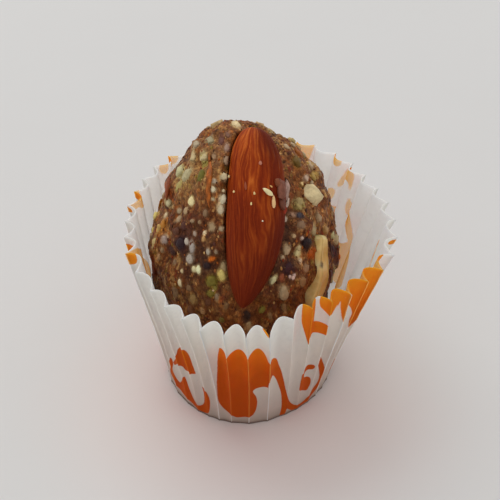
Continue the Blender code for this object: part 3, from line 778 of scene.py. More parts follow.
# %% The case
def paper_case():
    """The pleated wall and flat base as one sheet, with its print, creases and folds stored on its points."""
    ridges = ridge_azimuths()
    depths = ridge_depths()
    rows = WALL_ROWS + BASE_ROWS
    bm = bmesh.new()
    bmesh.ops.create_grid(bm, x_segments=PLEATS * COLUMNS_PER_PLEAT, y_segments=rows, size=0.5)
    folds = bm.verts.layers.float.new("fold")
    creases = bm.verts.layers.float.new("crease")
    azimuths = bm.verts.layers.float.new("azimuth")
    levels = bm.verts.layers.float.new("level")
    for vert in bm.verts:
        column = round((vert.co.x + 0.5) * PLEATS * COLUMNS_PER_PLEAT)
        index, step = divmod(column, COLUMNS_PER_PLEAT)
        index %= PLEATS
        share = step / COLUMNS_PER_PLEAT
        azimuth = ridges[index] + (ridges[index + 1] - ridges[index]) * share
        own = depths[index] * (1.0 - share) + depths[(index + 1) % PLEATS] * share
        inward = math.sin(math.pi * share) ** VALLEY_POWER
        fold = own * (1.0 - inward) - inward
        row = round((vert.co.y + 0.5) * rows) - BASE_ROWS
        level = max(0.0, row / WALL_ROWS)
        point = case_point(azimuth, fold, level)
        point.z = case_height(azimuth, fold) * level
        if row < 0:
            point *= 1.0 + row / BASE_ROWS
        else:
            out = Vector((point.x, point.y, 0.0)).normalized()
            crinkle = sum(height * noise.noise(point / size) for size, height in CRINKLES)
            point += out * (crinkle - CRINKLE_INWARD) * min(1.0, level * CRINKLES_GROW)
        vert.co = point
        vert[folds] = fold if row > 0 else -1.0
        pinch = noise.noise(Vector((azimuth * CREASE_STEPS[0], level * CREASE_STEPS[1], CREASE_STEPS[2])))
        vert[creases] = max(0.0, 1.0 - abs(pinch) * CREASE_SHARPNESS) if row > 0 else 0.0
        vert[azimuths] = azimuth + between(PLEAT_LEAN, azimuth) * (1.0 - level)
        vert[levels] = level if row > 0 else -1.0
    bmesh.ops.remove_doubles(bm, verts=bm.verts, dist=WELD)
    ink = bm.verts.layers.float.new("print")
    azimuths, levels = (bm.verts.layers.float[name] for name in ("azimuth", "level"))
    distances = print_distance(np.array([vert[azimuths] for vert in bm.verts]),
                               np.array([vert[levels] for vert in bm.verts]))
    for vert, distance in zip(bm.verts, distances):
        vert[ink] = distance
    case = finish_piece(mesh_of(bm, "paper_case_sheet"), "paper_case_sheet",
                        paper_material("printed_paper", **OUTSIDE), "paper_case")
    case.data.materials.append(paper_material("paper_inside", **INSIDE))
    case.data.set_sharp_from_angle(angle=SHARP_FOLD)
    wall = case.modifiers.new("thin paper", "SOLIDIFY")
    wall.thickness = THIN_PAPER
    wall.offset = -1.0
    wall.material_offset = 1
    return case


CASE = paper_case()
print("case sheet:", triangles(CASE) * 2, "triangles with both faces")

# %% [markdown]
# ## The pressed ball: its form
#
# The ball is a minced paste of dates, figs and nuts, rolled by hand, so it is a tall uneven egg with crags. The CAD
# solid has that form, and these are its numbers and functions, so the new surface lies where the solid is. On top
# of it comes the mince itself: a mosaic of grains about a millimetre wide with smaller ones between them, each
# standing a little proud with a crevice round it. A Voronoi pattern gives just that, a cell for each grain. The
# almond and the nut slice are pressed into the ball, so their sizes and places belong to its form too.

# %% Ball sizes
BALL_HALF = (12.45 * MM, 15.0 * MM)
BALL_MIDDLE = Vector((-0.75, 0.0, 18.0)) * MM
BALL_TOP = 38.5 * MM
BALL_REST = 0.6 * MM
BALL_LEAN = 0.006
BALL_TOP_SLOPE = 0.2
TOP_POWER = 1.76
BOTTOM_POWER = 1.9
CRAGS = ((9.0 * MM, 0.8 * MM), (3.8 * MM, 0.9 * MM), (2.1 * MM, 0.6 * MM))
DENT_REACH = 2.2 * MM
DENT_DEPTH = 0.55 * MM
SWELL_AT = Vector((8.6, 4.4, 28.2)) * MM
SWELL_REACH = 9.0 * MM
SWELL_RISE = 1.15 * MM

ALMOND_LENGTH = 23.9 * MM
ALMOND_HALF = (3.95 * MM, 3.3 * MM)
ALMOND_MIDDLE = Vector((0.0, -8.0, 30.35)) * MM
ALMOND_LIE = Vector((0.06, 0.71, 0.70))
ALMOND_BEND = 1.7 * MM
ALMOND_BOW = 1.0 * MM
ALMOND_BLUNT_POWERS = (2.8, 1.0 / 2.35)
ALMOND_TIP_POWERS = (2.0, 1.0 / 1.5)
ALMOND_THICK_POWER = 0.8

SLICE_HALF = (5.1 * MM, 1.22 * MM, 1.1 * MM)
SLICE_SEAT = (-34.0, 21.4)
SLICE_TURN = -30.0
SLICE_PROUD = 0.4 * MM
SLICE_CURVE = 16.0 * MM
SLICE_TAPER = 0.35
SLICE_WOBBLE = 0.25 * MM
SLICE_WAVES = 5.0


def height_of(upward):
    """How far the egg reaches from its middle, up or down."""
    return BALL_TOP - BALL_MIDDLE.z if upward > 0.0 else BALL_MIDDLE.z


def ball_core(direction):
    """The smooth egg along a direction that is measured in half sizes, and its outward normal."""
    upper = direction.z > 0.0
    power = TOP_POWER if upper else BOTTOM_POWER
    height = height_of(direction.z)
    flat = math.hypot(direction.x, direction.y)
    size = (abs(direction.z) ** power + flat ** power) ** (-1.0 / power)
    unit = direction * size
    point = Vector((unit.x * BALL_HALF[0], unit.y * BALL_HALF[1], unit.z * height))
    if upper:
        point.z -= BALL_TOP_SLOPE * point.x * unit.z ** 2
    point.x += BALL_LEAN * point.z
    flat *= size
    steep = flat ** (power - 2.0) if flat > 0.0 else 0.0
    normal = Vector((unit.x * steep / BALL_HALF[0], unit.y * steep / BALL_HALF[1],
                     math.copysign(abs(unit.z) ** (power - 1.0) / height, unit.z)))
    return BALL_MIDDLE + point, normal.normalized()


def almond_frame():
    """Places the almond: its Z runs to the blunt end, its Y out of the ball and its X to the left."""
    along = ALMOND_LIE.normalized()
    out = X_AXIS.cross(along).normalized()
    left = out.cross(along)
    turn = Matrix((left, out, along)).transposed()
    return Matrix.Translation(ALMOND_MIDDLE) @ turn.to_4x4()


def almond_half(share):
    """Half width at a share of the half length: -1 is the pointed tip, 1 the blunt end."""
    inner, outer = ALMOND_BLUNT_POWERS if share > 0.0 else ALMOND_TIP_POWERS
    return max(0.0, 1.0 - abs(share) ** inner) ** outer


ALMOND_PLACE = almond_frame()
INTO_ALMOND = ALMOND_PLACE.inverted()


def beside_almond(point):
    """How far a point lies outside the almond's outline, seen along its own Y; inside is zero."""
    local = INTO_ALMOND @ point
    if local.y < -ALMOND_HALF[1]:
        return 1.0
    share = max(-1.0, min(1.0, 2.0 * local.z / ALMOND_LENGTH))
    middle = -ALMOND_BOW * (1.0 - share ** 2)
    side = max(0.0, abs(local.x - middle) - ALMOND_HALF[0] * almond_half(share))
    end = max(0.0, abs(local.z) - ALMOND_LENGTH / 2.0)
    return math.hypot(side, end)


def ball_point(direction):
    """The craggy surface along a direction: the egg, its right shoulder, its crags, the almond's dent."""
    point, normal = ball_core(direction)
    near = max(0.0, 1.0 - (point - SWELL_AT).length / SWELL_REACH)
    rise = SWELL_RISE * near * near * (3.0 - 2.0 * near)
    rise += sum(height * noise.noise(point / size) for size, height in CRAGS)
    dent = max(0.0, 1.0 - beside_almond(point) / DENT_REACH)
    point = point + normal * (rise - DENT_DEPTH * dent)
    point.z = max(point.z, BALL_REST)
    return point, normal


def slice_frame():
    """A frame on the ball for the nut slice: Z points out and X runs down the slope."""
    rise = SLICE_SEAT[1] * MM - BALL_MIDDLE.z
    share = rise / (BALL_TOP - BALL_MIDDLE.z)
    flat = (1.0 - share ** TOP_POWER) ** (1.0 / TOP_POWER)
    angle = math.radians(SLICE_SEAT[0])
    point, normal = ball_point(Vector((flat * math.cos(angle), flat * math.sin(angle), share)).normalized())
    down = Vector((0.0, 0.0, -1.0))
    down = (down - normal * down.dot(normal)).normalized()
    turn = Matrix((down, normal.cross(down), normal)).transposed().to_4x4()
    return Matrix.Translation(point) @ turn @ Matrix.Rotation(math.radians(SLICE_TURN), 4, "Z")


SLICE_PLACE = slice_frame() @ Matrix.Translation((0.0, 0.0, SLICE_PROUD - SLICE_HALF[2]))
INTO_SLICE = SLICE_PLACE.inverted()
print("almond middle", rounded_mm(ALMOND_MIDDLE), "mm")

# %% [markdown]
# ## The pressed ball: its colours
#
# Close up, the paste is many colours that read as brown from afar: tan and cream crumbs of nut, brown date, dark fig
# and a few grains of red and olive. Each grain of the mosaic draws its own colour from the list below, and the
# crevices are painted dark as shade. Some patches lean to one colour: pale at the upper left, dark and plum-coloured
# lower down, rust at the left edge. Such a patch is placed by its pixel and its radius in pixels.

# %% Colours of the mince
MINCE = (
    (22, (114, 66, 33)), (18, (138, 86, 44)), (15, (160, 114, 64)), (9, (188, 150, 96)), (13, (92, 46, 21)),
    (9, (62, 30, 13)), (7, (154, 82, 27)), (4, (120, 42, 13)), (3, (122, 98, 36)), (2, (84, 48, 40)),
)
# Painted shade: the dark colour painted into the crevices between the grains.
CREVICE_SHADE = (42, 18, 7)
PATCHES = (
    ((204, 168), 30, (160, 124, 74), 0.50), ((226, 140), 16, (136, 92, 54), 0.45),
    ((186, 176), 16, (168, 136, 82), 0.35), ((222, 196), 12, (144, 96, 56), 0.40),
    ((196, 226), 16, (78, 38, 21), 0.55), ((181, 245), 11, (56, 28, 26), 0.70),
    ((202, 254), 20, (54, 30, 17), 0.50), ((194, 276), 19, (58, 33, 18), 0.50), ((164, 196), 8, (132, 68, 26), 0.60),
    ((154, 266), 8, (116, 44, 10), 0.85), ((163, 228), 8, (150, 100, 42), 0.50),
    ((210, 212), 9, (122, 66, 30), 0.40), ((228, 240), 10, (98, 54, 26), 0.40),
    ((290, 268), 10, (60, 30, 24), 0.65), ((283, 222), 12, (66, 38, 24), 0.55),
    ((284, 243), 12, (58, 31, 20), 0.60), ((278, 274), 13, (56, 31, 18), 0.60),
    ((222, 270), 14, (66, 36, 20), 0.40), ((307, 243), 7, (42, 18, 13), 0.75),
    ((290, 200), 8, (128, 80, 50), 0.60), ((336, 262), 12, (78, 32, 12), 0.75),
    ((332, 282), 10, (76, 30, 10), 0.75), ((318, 212), 14, (150, 100, 58), 0.45),
    ((303, 170), 14, (156, 102, 54), 0.50), ((270, 300), 18, (102, 56, 27), 0.40),
    ((235, 300), 16, (124, 74, 34), 0.50), ((200, 300), 18, (110, 68, 29), 0.35),
    ((245, 312), 18, (124, 72, 34), 0.55), ((300, 292), 12, (106, 58, 27), 0.40),
)
MINCE_GRAINS = ((0.85 * MM, 0.09 * MM), (0.44 * MM, 0.05 * MM))
MINCE_MIDDLE = Vector((116, 70, 36))
GRAIN_CONTRAST = 0.8
GRAIN_STRETCH = Vector((1.28, 1.0, 0.76))
BALL_SUBDIVISIONS = 6
BALL_FINE_ABOVE = -0.42
POCKET_GAP = 0.12 * MM
BANK_REACH = 2.0 * MM
BANK_SLOPE = 0.7
BANK_RISE = 0.6 / MM
SLICE_ABOVE = 6.0 * MM
BELOW_TOP = 0.02 * MM
DRAW_SPREAD = 37.0
DRAW_STEP = 11.0


def own_share(cell, which):
    """A fixed number from 0 to 1 for a grain, from where its middle is; which names one of several draws."""
    return 0.5 + 0.5 * noise.cell(cell * DRAW_SPREAD + Vector((which * DRAW_STEP, 0.0, 0.0)))


def mince_colour(share):
    """Draw a colour from the mince: share runs from 0 to 1 through the list."""
    left = share * sum(weight for weight, _ in MINCE)
    for weight, colour in MINCE:
        left -= weight
        if left <= 0.0:
            return Vector(colour)
    return Vector(MINCE[-1][1])


print(len(MINCE), "colours in the mince,", len(PATCHES), "patches")

# %% [markdown]
# The almond and the slice are pressed into the paste, so the paste must not come through them. A point that would
# lie inside one of them is pushed back behind it, and beside the almond the paste rises again as a low bank.

# %% Pockets for the almond and the slice
def almond_back(local):
    """The height of the almond's back at a place in its own frame, or None beside it."""
    share = 2.0 * local.z / ALMOND_LENGTH
    if abs(share) >= 1.0:
        return None
    half = almond_half(share)
    width = ALMOND_HALF[0] * half
    across = (local.x + ALMOND_BOW * (1.0 - share ** 2)) / width
    if abs(across) >= 1.0:
        return None
    thick = ALMOND_HALF[1] * half ** ALMOND_THICK_POWER
    return ALMOND_BEND * (1.0 - share ** 2) - thick * math.sqrt(1.0 - across ** 2)


def beside_back(point, local):
    """How high the paste may stand beside the almond: its widest line, and higher the further from it."""
    off = beside_almond(point)
    share = min(1.0, abs(2.0 * local.z / ALMOND_LENGTH))
    return ALMOND_BEND * (1.0 - share ** 2) + BANK_SLOPE * off + BANK_RISE * off ** 2 if off < BANK_REACH else None


def press_pockets(point):
    """Push a point of the paste back below the almond and the slice, which are pressed into it."""
    local = INTO_ALMOND @ point
    if local.y > -2.0 * ALMOND_HALF[1]:
        back = almond_back(local)
        back = beside_back(point, local) if back is None else back - POCKET_GAP
        if back is not None and local.y > back:
            local.y = back
            return ALMOND_PLACE @ local
    local = INTO_SLICE @ point
    share = local.x / SLICE_HALF[0]
    if abs(share) < 1.0 and abs(local.z) < SLICE_ABOVE:
        half = SLICE_HALF[1] * (1.0 - SLICE_TAPER * share ** 2)
        under = -SLICE_HALF[2] - local.x ** 2 / (2.0 * SLICE_CURVE) - POCKET_GAP
        wobble = SLICE_WOBBLE * math.sin(SLICE_WAVES * share + 1.0)
        if abs(local.y - wobble) < half and local.z > under:
            local.z = under
            return SLICE_PLACE @ local
    return point


print("the almond's back lies", round(-almond_back(Vector()) / MM, 2), "mm behind its middle")

# %% [markdown]
# An icosphere has even triangles and no poles, so it suits a ball with grain all over. The part that shows above the
# case is divided again, and each point goes to the craggy surface. A search tree of that surface then tells where
# the ray of a pixel meets it, which places the bits and patches before the grain is raised.

# %% The craggy ball
def craggy_ball():
    """The ball's craggy surface, finer where it shows, and which way each point faces."""
    bm = bmesh.new()
    bmesh.ops.create_icosphere(bm, subdivisions=BALL_SUBDIVISIONS, radius=1.0)
    shown = [edge for edge in bm.edges if min(vert.co.z for vert in edge.verts) > BALL_FINE_ABOVE]
    bmesh.ops.subdivide_edges(bm, edges=shown, cuts=2, use_grid_fill=True)
    normals = []
    for vert in bm.verts:
        vert.co, normal = ball_point(vert.co.normalized())
        normals.append(normal)
    return bm, normals


PASTE_BM, PASTE_NORMALS = craggy_ball()
PASTE_TREE = BVHTree.FromBMesh(PASTE_BM)
PASTE_POINTS = KDTree(len(PASTE_BM.verts))
for index, vert in enumerate(PASTE_BM.verts):
    PASTE_POINTS.insert(vert.co, index)
PASTE_POINTS.balance()
print("paste:", len(PASTE_BM.verts), "points")

# %% [markdown]
# ## Seeds and bits in the paste
#
# Pale sesame-like seeds, broken nuts, shreds of dried fruit and green pistachio stick out of the paste. Each is a
# small mesh of its own, so that it catches the light and stands out at the edge of the ball. One kind is one joined
# piece: a few shapes of that kind are modelled, and copies are laid on the paste, turned, sized and coloured.

# %% Shapes of the bits
SHAPES_SEED = 11
SHIFT_MOST = 50.0
SEED_NARROWS = 0.38
SEED_WIDE = 1.12
SEED_RUMPLE = (3.0, 0.04)
NUT_SIZES = (0.62, 1.16)
NUT_KNOCKED = 0.26
NUT_RUMPLE = (3.4, 0.20)
FRUIT_RUMPLES = ((3.2, 0.32), (7.0, 0.12))
CRUMB_SPREAD = (0.7, 1.15)


def seed_shape(rng):
    """A seed: a flattened grain with one end narrower."""
    bm = bmesh.new()
    bmesh.ops.create_uvsphere(bm, u_segments=12, v_segments=8, radius=0.5)
    bmesh.ops.rotate(bm, verts=bm.verts, matrix=Matrix.Rotation(math.radians(90.0), 3, "X"))
    shift = Vector((rng.uniform(0.0, SHIFT_MOST), 0.0, 0.0))
    for vert in bm.verts:
        narrow = 1.0 - SEED_NARROWS * (vert.co.y + 0.5) ** 1.5
        vert.co = Vector((vert.co.x * narrow * SEED_WIDE, vert.co.y, vert.co.z * (0.7 + 0.3 * narrow)))
        vert.co += noise.noise_vector(vert.co * SEED_RUMPLE[0] + shift) * SEED_RUMPLE[1]
    return bm


def nut_shape(rng):
    """A broken bit of nut: a block with knocked corners and softened edges."""
    bm = bmesh.new()
    bmesh.ops.create_cube(bm, size=1.0)
    for vert in bm.verts:
        vert.co = Vector([value * rng.uniform(*NUT_SIZES) for value in vert.co])
    bmesh.ops.bevel(bm, geom=bm.edges[:], offset=NUT_KNOCKED, segments=2, profile=0.5, affect="EDGES", material=-1)
    shift = Vector((0.0, rng.uniform(0.0, SHIFT_MOST), 0.0))
    for vert in bm.verts:
        vert.co += noise.noise_vector(vert.co * NUT_RUMPLE[0] + shift) * NUT_RUMPLE[1]
    return bm


def fruit_shape(rng):
    """A shred of dried fruit: rumpled all over."""
    bm = bmesh.new()
    bmesh.ops.create_icosphere(bm, subdivisions=2, radius=0.5)
    shift = Vector((0.0, 0.0, rng.uniform(0.0, SHIFT_MOST)))
    for vert in bm.verts:
        vert.co *= 1.0 + sum(noise.noise(vert.co * detail + shift) * height for detail, height in FRUIT_RUMPLES)
    return bm


def crumb_shape(rng):
    """A crumb of the mince: a knocked little block of twenty faces."""
    bm = bmesh.new()
    bmesh.ops.create_icosphere(bm, subdivisions=1, radius=0.5)
    for vert in bm.verts:
        vert.co *= rng.uniform(*CRUMB_SPREAD)
    return bm


def shapes_of(maker, count):
    """A few shapes of one kind, each as an array of points and a list of faces."""
    rng = random.Random(SHAPES_SEED)
    shapes = []
    for _ in range(count):
        mesh = mesh_of(maker(rng), "shape")
        points = np.array([vert.co[:] for vert in mesh.vertices])
        faces = [tuple(face.vertices) for face in mesh.polygons]
        shapes.append((points, faces))
        bpy.data.meshes.remove(mesh)
    return shapes


SEED_SHAPES = shapes_of(seed_shape, 4)
NUT_SHAPES = shapes_of(nut_shape, 5)
FRUIT_SHAPES = shapes_of(fruit_shape, 4)
CRUMB_SHAPES = shapes_of(crumb_shape, 6)
print("faces in a seed, nut, fruit and crumb:",
      [len(shapes[0][1]) for shapes in (SEED_SHAPES, NUT_SHAPES, FRUIT_SHAPES, CRUMB_SHAPES)])


# %% [markdown]
# A bit is laid flat on the ball, sunk a little, with its long side up the picture before it is turned. The joined
# mesh of a kind has a colour at each point, which the finish reads.

# %% Laying a bit on the paste
MOST_STRETCH = 1.7
RAY_STEPS = 12
RAY_STEP = 0.01
PICTURE_MIDDLE = (250, 230)
STEEPEST = 0.1
BIT_GRAIN = 2.2
BIT_SHADES = ((0.0, (0.78, 0.73, 0.66, 1)), (1.0, (1.16, 1.14, 1.08, 1)))


def hit_paste(x, y):
    """Where the ray of a pixel meets the paste; just off the outline, the nearest pixel inwards that does."""
    for step in range(RAY_STEPS):
        share = step * RAY_STEP
        inwards = pixel_ray(x + (PICTURE_MIDDLE[0] - x) * share, y + (PICTURE_MIDDLE[1] - y) * share)
        hit = PASTE_TREE.ray_cast(EYE, inwards)[0]
        if hit is not None:
            return hit
    return None


def smooth_normal(point):
    """Which way the ball faces near a point, without its grain."""
    local = point - BALL_MIDDLE
    height = height_of(local.z)
    return Vector((local.x / BALL_HALF[0] ** 2, local.y / BALL_HALF[1] ** 2, local.z / height ** 2)).normalized()


def axes_on(normal):
    """Two directions along a surface: across the picture, and up it."""
    across = (X_AXIS - normal * X_AXIS.dot(normal)).normalized()
    return across, normal.cross(across)


def lie(point, normal, width, length, thick, turn, sink):
    """The matrix that lays a shape of unit size on the paste, long side up the picture before its turn."""
    here = Matrix((*axes_on(normal), normal)).transposed().to_4x4()
    spin = Matrix.Rotation(math.radians(turn), 4, "Z")
    lift = Matrix.Translation((0.0, 0.0, thick * (0.5 - sink)))
    return Matrix.Translation(point) @ here @ spin @ lift @ Matrix.Diagonal((width, length, thick, 1.0))


def lay_listed(listed, place_at, stretch, shapes, rng, thick, sink):
    """Lay the listed bits: pixel, width and height in pixels, turn and colour. place_at finds point and normal.

    A bit on a slope looks shorter than it is, so stretch tells how much to lengthen it for its slope.
    """
    placed = []
    for x, y, width, height, turn, colour in listed:
        point, normal = place_at(x, y)
        if point is None:
            continue
        across, up = axes_on(normal)
        wide = width * PIXEL * stretch(across.dot(X_AXIS))
        long = height * PIXEL * stretch(up.dot(UPWARD))
        matrix = lie(point, normal, wide, long, thick * min(wide, long), turn, sink)
        placed.append((rng.randrange(len(shapes)), matrix, Vector(colour)))
    return placed


def on_paste(x, y):
    """The place of a pixel on the paste and the smooth ball's normal there."""
    hit = hit_paste(x, y)
    return hit, smooth_normal(hit) if hit is not None else None


def paste_stretch(slope):
    """How much a bit on the paste is lengthened for its slope."""
    return min(MOST_STRETCH, 1.0 / max(STEEPEST, slope))


def joined_piece(placed, shapes, name, material, spread, rng, stands_for="pinni_ball"):
    """Join all copies of one kind into a mesh, with a colour for each, and make it a piece."""
    points, faces, tints, count = [], [], [], 0
    for which, matrix, colour in placed:
        shape, shape_faces = shapes[which]
        points.append(shape @ np.array(matrix.to_3x3()).T + np.array(matrix.translation))
        faces += [tuple(index + count for index in face) for face in shape_faces]
        count += len(shape)
        shade = 1.0 + rng.uniform(-spread, spread)
        tints += [paint(*[min(255.0, value * shade) for value in colour])] * len(shape)
    mesh = bpy.data.meshes.new(name)
    points = np.concatenate(points)
    points[:, 2] = np.minimum(points[:, 2], CAD_BOX[1][2] - BELOW_TOP)
    mesh.from_pydata(points.tolist(), [], faces)
    tint = mesh.attributes.new("tint", "FLOAT_COLOR", "POINT")
    tint.data.foreach_set("color", np.array(tints, dtype=np.float32).ravel())
    return finish_piece(mesh, name, material, stands_for)


def bit_material(name, amount, per_metre, bump_height, coat, rough):
    """A seed, nut or fruit finish: the piece's own colours, a soft mottle, a fine grain and a little bump."""
    material, tree, shader = new_material(name, Roughness=rough, Specular_IOR_Level=0.2, Coat_Weight=coat)
    place = object_place(tree)
    colour = mottled(tree, place, stored(tree, "tint", "Color"), per_metre, amount)
    fine = grained(tree, place, per_metre * BIT_GRAIN)
    shade = ramp(tree, fine["Value"], *BIT_SHADES)
    tree.links.new(blend(tree, 0.6, colour, shade, "MULTIPLY"), shader.inputs["Base Color"])
    raise_bumps(tree, shader, fine["Height"], 0.5, bump_height)
    return material


print("the middle pixel meets the paste at", rounded_mm(hit_paste(250, 250)), "mm")

# %% [markdown]
# The bits that the photograph shows are listed with their pixel, their width and height in pixels, their turn in
# degrees and their colour. They are what makes this ball this one: pale seeds left of the almond, a green flake of
# pistachio beside a long orange shred, chips of cream nut at the top, and tiny seeds everywhere.

# %% Seeds that show
SEEDS = [
    (191.7, 201, 6, 9, -10, (216, 202, 152)), (194.3, 269, 4.5, 5.5, 30, (224, 214, 168)),
    (198.6, 269.5, 5, 8, 5, (226, 216, 172)), (182, 271, 3, 4, 0, (200, 182, 140)),
    (180, 282.8, 4, 7, 10, (206, 192, 156)), (273.7, 279.2, 5, 9.5, -25, (204, 198, 152)),
    (221.8, 275, 7.5, 10.5, 12, (214, 196, 116)), (223.4, 267, 6, 10, 0, (158, 138, 100)),
    (223, 199, 6, 9.5, -12, (206, 197, 168)), (220.7, 209, 6.5, 10, 5, (190, 176, 146)),
    (223.4, 190.6, 3, 3, 0, (190, 172, 136)), (213, 199, 3, 3.2, 0, (186, 170, 136)),
    (212.7, 189.3, 5, 5.5, 20, (202, 192, 162)), (168.9, 202.7, 5.5, 7, -25, (192, 182, 142)),
    (166.3, 215.2, 4, 5, 0, (202, 182, 147)), (204.6, 233, 2.6, 4, 20, (212, 197, 162)),
    (205, 232.8, 2.6, 4.5, -20, (227, 202, 162)), (189.7, 258.8, 6, 9, -10, (166, 156, 144)),
    (192.2, 246.5, 4.5, 13, -8, (168, 158, 150)), (186.6, 241.4, 4, 6.5, 15, (174, 164, 152)),
    (208, 251.6, 3.8, 6, 0, (176, 166, 150)), (203.5, 238.4, 3, 5.5, 0, (176, 138, 88)),
    (213.2, 291, 2, 3, 0, (202, 172, 142)), (262.1, 309.8, 5, 6.5, -25, (122, 110, 42)),
    (284, 293, 8.5, 14, 8, (172, 148, 114)), (297.4, 253, 4.6, 8, -15, (192, 178, 128)),
    (300.2, 260.7, 3.6, 4.6, 0, (202, 174, 142)), (302.2, 238.2, 3, 3.6, 0, (192, 168, 152)),
    (293, 277.8, 3, 3.4, 0, (202, 174, 164)), (290, 276.6, 2.6, 3.2, 30, (188, 160, 150)),
    (294.5, 275.2, 2.4, 3, 0, (196, 170, 162)), (302, 183.4, 2, 3, 0, (232, 202, 142)),
    # The first bit on the line below, the bright speck at pixel (228.8, 176.3), is a painted glint laid as a seed.
    (228.8, 176.3, 2, 2.6, 0, (232, 204, 146)), (306.2, 178, 3.6, 4.6, 0, (176, 152, 132)),
    (286.3, 146.5, 5, 5, 20, (178, 154, 122)), (293, 144.8, 4, 5, -15, (172, 150, 118)),
    (179.6, 210.7, 4, 5, 0, (167, 147, 117)), (185.9, 210.7, 4, 7, -15, (164, 138, 104)),
    (179.2, 218.8, 5, 5.5, 30, (166, 142, 112)), (192, 221, 4, 3.4, 0, (150, 124, 96)),
    (194.8, 233.6, 3, 5, 20, (164, 144, 128)), (282.5, 257.3, 3.6, 4, 0, (176, 152, 120)),
    (311.5, 182.5, 3, 4, 10, (170, 150, 122)), (199.5, 222, 3, 4, -30, (146, 116, 84)),
    (216, 252, 3, 4, 20, (150, 128, 104)), (228, 252.5, 3.4, 5, -10, (146, 122, 98)),
    (175, 262, 3, 5, 10, (140, 112, 84)), (162, 250, 3, 5, -10, (156, 128, 96)),
    (233.5, 240, 3, 5, 0, (150, 126, 98)), (294, 236, 3.4, 4, 0, (168, 140, 104)),
]
print(len(SEEDS), "seeds are listed")

# %% Nut bits that show
NUTS = [
    (236, 125, 8, 8.5, 20, (202, 183, 143)), (216, 122, 11, 7, -20, (186, 162, 116)),
    (203.8, 157, 6, 8.5, -10, (182, 168, 128)), (193, 155.4, 4.5, 9, -15, (186, 167, 127)),
    (195.7, 143.8, 5, 6, 10, (170, 155, 130)), (180, 171.4, 6, 10, 5, (192, 187, 142)),
    (187.2, 174, 7.5, 12, -15, (182, 171, 132)), (227, 148, 5, 8, 0, (152, 124, 108)),
    (209.6, 140, 6.5, 8, 20, (152, 142, 112)), (214, 181.3, 4.4, 5, 0, (166, 152, 132)),
    (223.8, 176.8, 6.5, 7.5, -15, (192, 177, 142)), (211.8, 226.8, 6, 9, 10, (168, 144, 110)),
    (221.6, 228.6, 6, 4.5, 0, (172, 152, 122)), (271.4, 129, 6.5, 10, -18, (176, 152, 108)),
    (310.3, 164.7, 4, 11, 12, (176, 151, 121)), (306.5, 157, 3, 8, 22, (186, 140, 92)),
    (299.0, 205.0, 8, 8, 0, (168, 148, 92)), (299.6, 202, 8, 8.5, 15, (162, 142, 94)),
    (292.9, 214.5, 5.5, 5, 0, (152, 118, 96)), (285, 218.6, 3.2, 6, 0, (167, 152, 137)),
    (318.6, 217, 5, 9, 0, (152, 127, 97)), (312.8, 229, 5, 12, 0, (167, 147, 107)),
    (301.2, 225.2, 6, 8, 25, (142, 112, 86)), (325.5, 229, 5, 9, 10, (160, 124, 78)),
    (286.5, 249, 6, 10.5, -14, (168, 144, 112)), (298.8, 247.8, 4, 5.5, 20, (176, 156, 116)),
    (305.5, 267.8, 5, 8, 10, (152, 117, 87)), (302.2, 281.2, 5.5, 10, 5, (146, 108, 70)),
    (193.3, 298.6, 7, 9, 10, (144, 114, 70)), (202.4, 310.8, 4.4, 7, 0, (167, 128, 88)),
    (174.9, 292.4, 4, 10, 10, (142, 112, 82)), (248.4, 327, 8, 12, 10, (170, 140, 100)),
    (154.5, 243.5, 6.5, 12, 10, (192, 172, 117)), (164.2, 239.4, 4.4, 8.5, 0, (168, 148, 138)),
    (158.6, 256.7, 2.6, 8, -10, (172, 134, 94)), (158.5, 229, 4.4, 12, -20, (184, 150, 88)),
    (216.7, 297, 4, 6, 0, (150, 126, 100)), (240, 300, 4.4, 8, 10, (150, 116, 76)),
    (226, 306, 4.4, 7, -15, (134, 100, 66)), (270, 316, 4.4, 7, 15, (132, 100, 66)),
    (284, 308, 4.6, 9, 5, (146, 110, 72)), (189, 288, 4, 7, 0, (132, 102, 72)),
    (233, 226, 4, 7, 10, (150, 124, 96)), (205, 213, 4, 7, -15, (138, 110, 82)),
    (226, 160, 5, 8, 0, (146, 120, 96)), (214, 156, 4, 7, 15, (140, 112, 84)),
]
print(len(NUTS), "nut bits are listed")

# %% Fruit and pistachio that show
FRUIT = [
    (221.6, 140, 6, 8.5, 0, (98, 60, 50)), (228, 134, 5, 6, 20, (118, 82, 64)),
    (167, 187.5, 5, 18, -14, (132, 62, 26)), (161.8, 226.8, 5.5, 14, -14, (162, 108, 42)),
    (153.8, 233, 3, 5, 0, (132, 72, 52)), (298.7, 152.3, 8, 6, -25, (152, 88, 36)),
    # This grey-blue bit is dark fruit with a painted glint on it.
    (300, 215.3, 5, 5.5, 0, (66, 60, 68)),
    (180, 244, 8, 12, 10, (44, 24, 30)), (172, 250, 7, 9, -20, (66, 38, 32)),
    (212.1, 258.8, 6.5, 4, 30, (202, 102, 22)), (282, 277, 5.5, 8, -10, (132, 72, 46)),
    (153.5, 266, 7.5, 20, 4, (114, 48, 16)), (307.4, 243, 8, 9.5, 0, (34, 14, 16)),
    (311.2, 253.5, 6.5, 9.5, 10, (162, 78, 22)), (288.3, 268.8, 10, 9.5, 20, (58, 28, 32)),
    (330.5, 277, 4, 14, 0, (84, 34, 18)), (328.5, 285, 5, 7, 0, (132, 76, 44)),
    (331, 250, 3, 16, 4, (54, 26, 18)), (206.6, 266, 7, 6, 0, (40, 22, 22)),
    (233, 262.5, 5, 8, 0, (84, 52, 36)), (184, 226, 7, 8, 20, (78, 42, 32)),
    (197, 206, 5, 9, -10, (106, 60, 34)), (176, 232, 6, 9, 0, (90, 50, 30)),
    (246.5, 316, 7, 9, 0, (52, 32, 24)), (274, 306, 6, 9, 10, (104, 58, 34)),
    (208, 302, 6, 8, -10, (98, 60, 36)), (190, 310, 5, 8, 0, (110, 70, 44)),
]
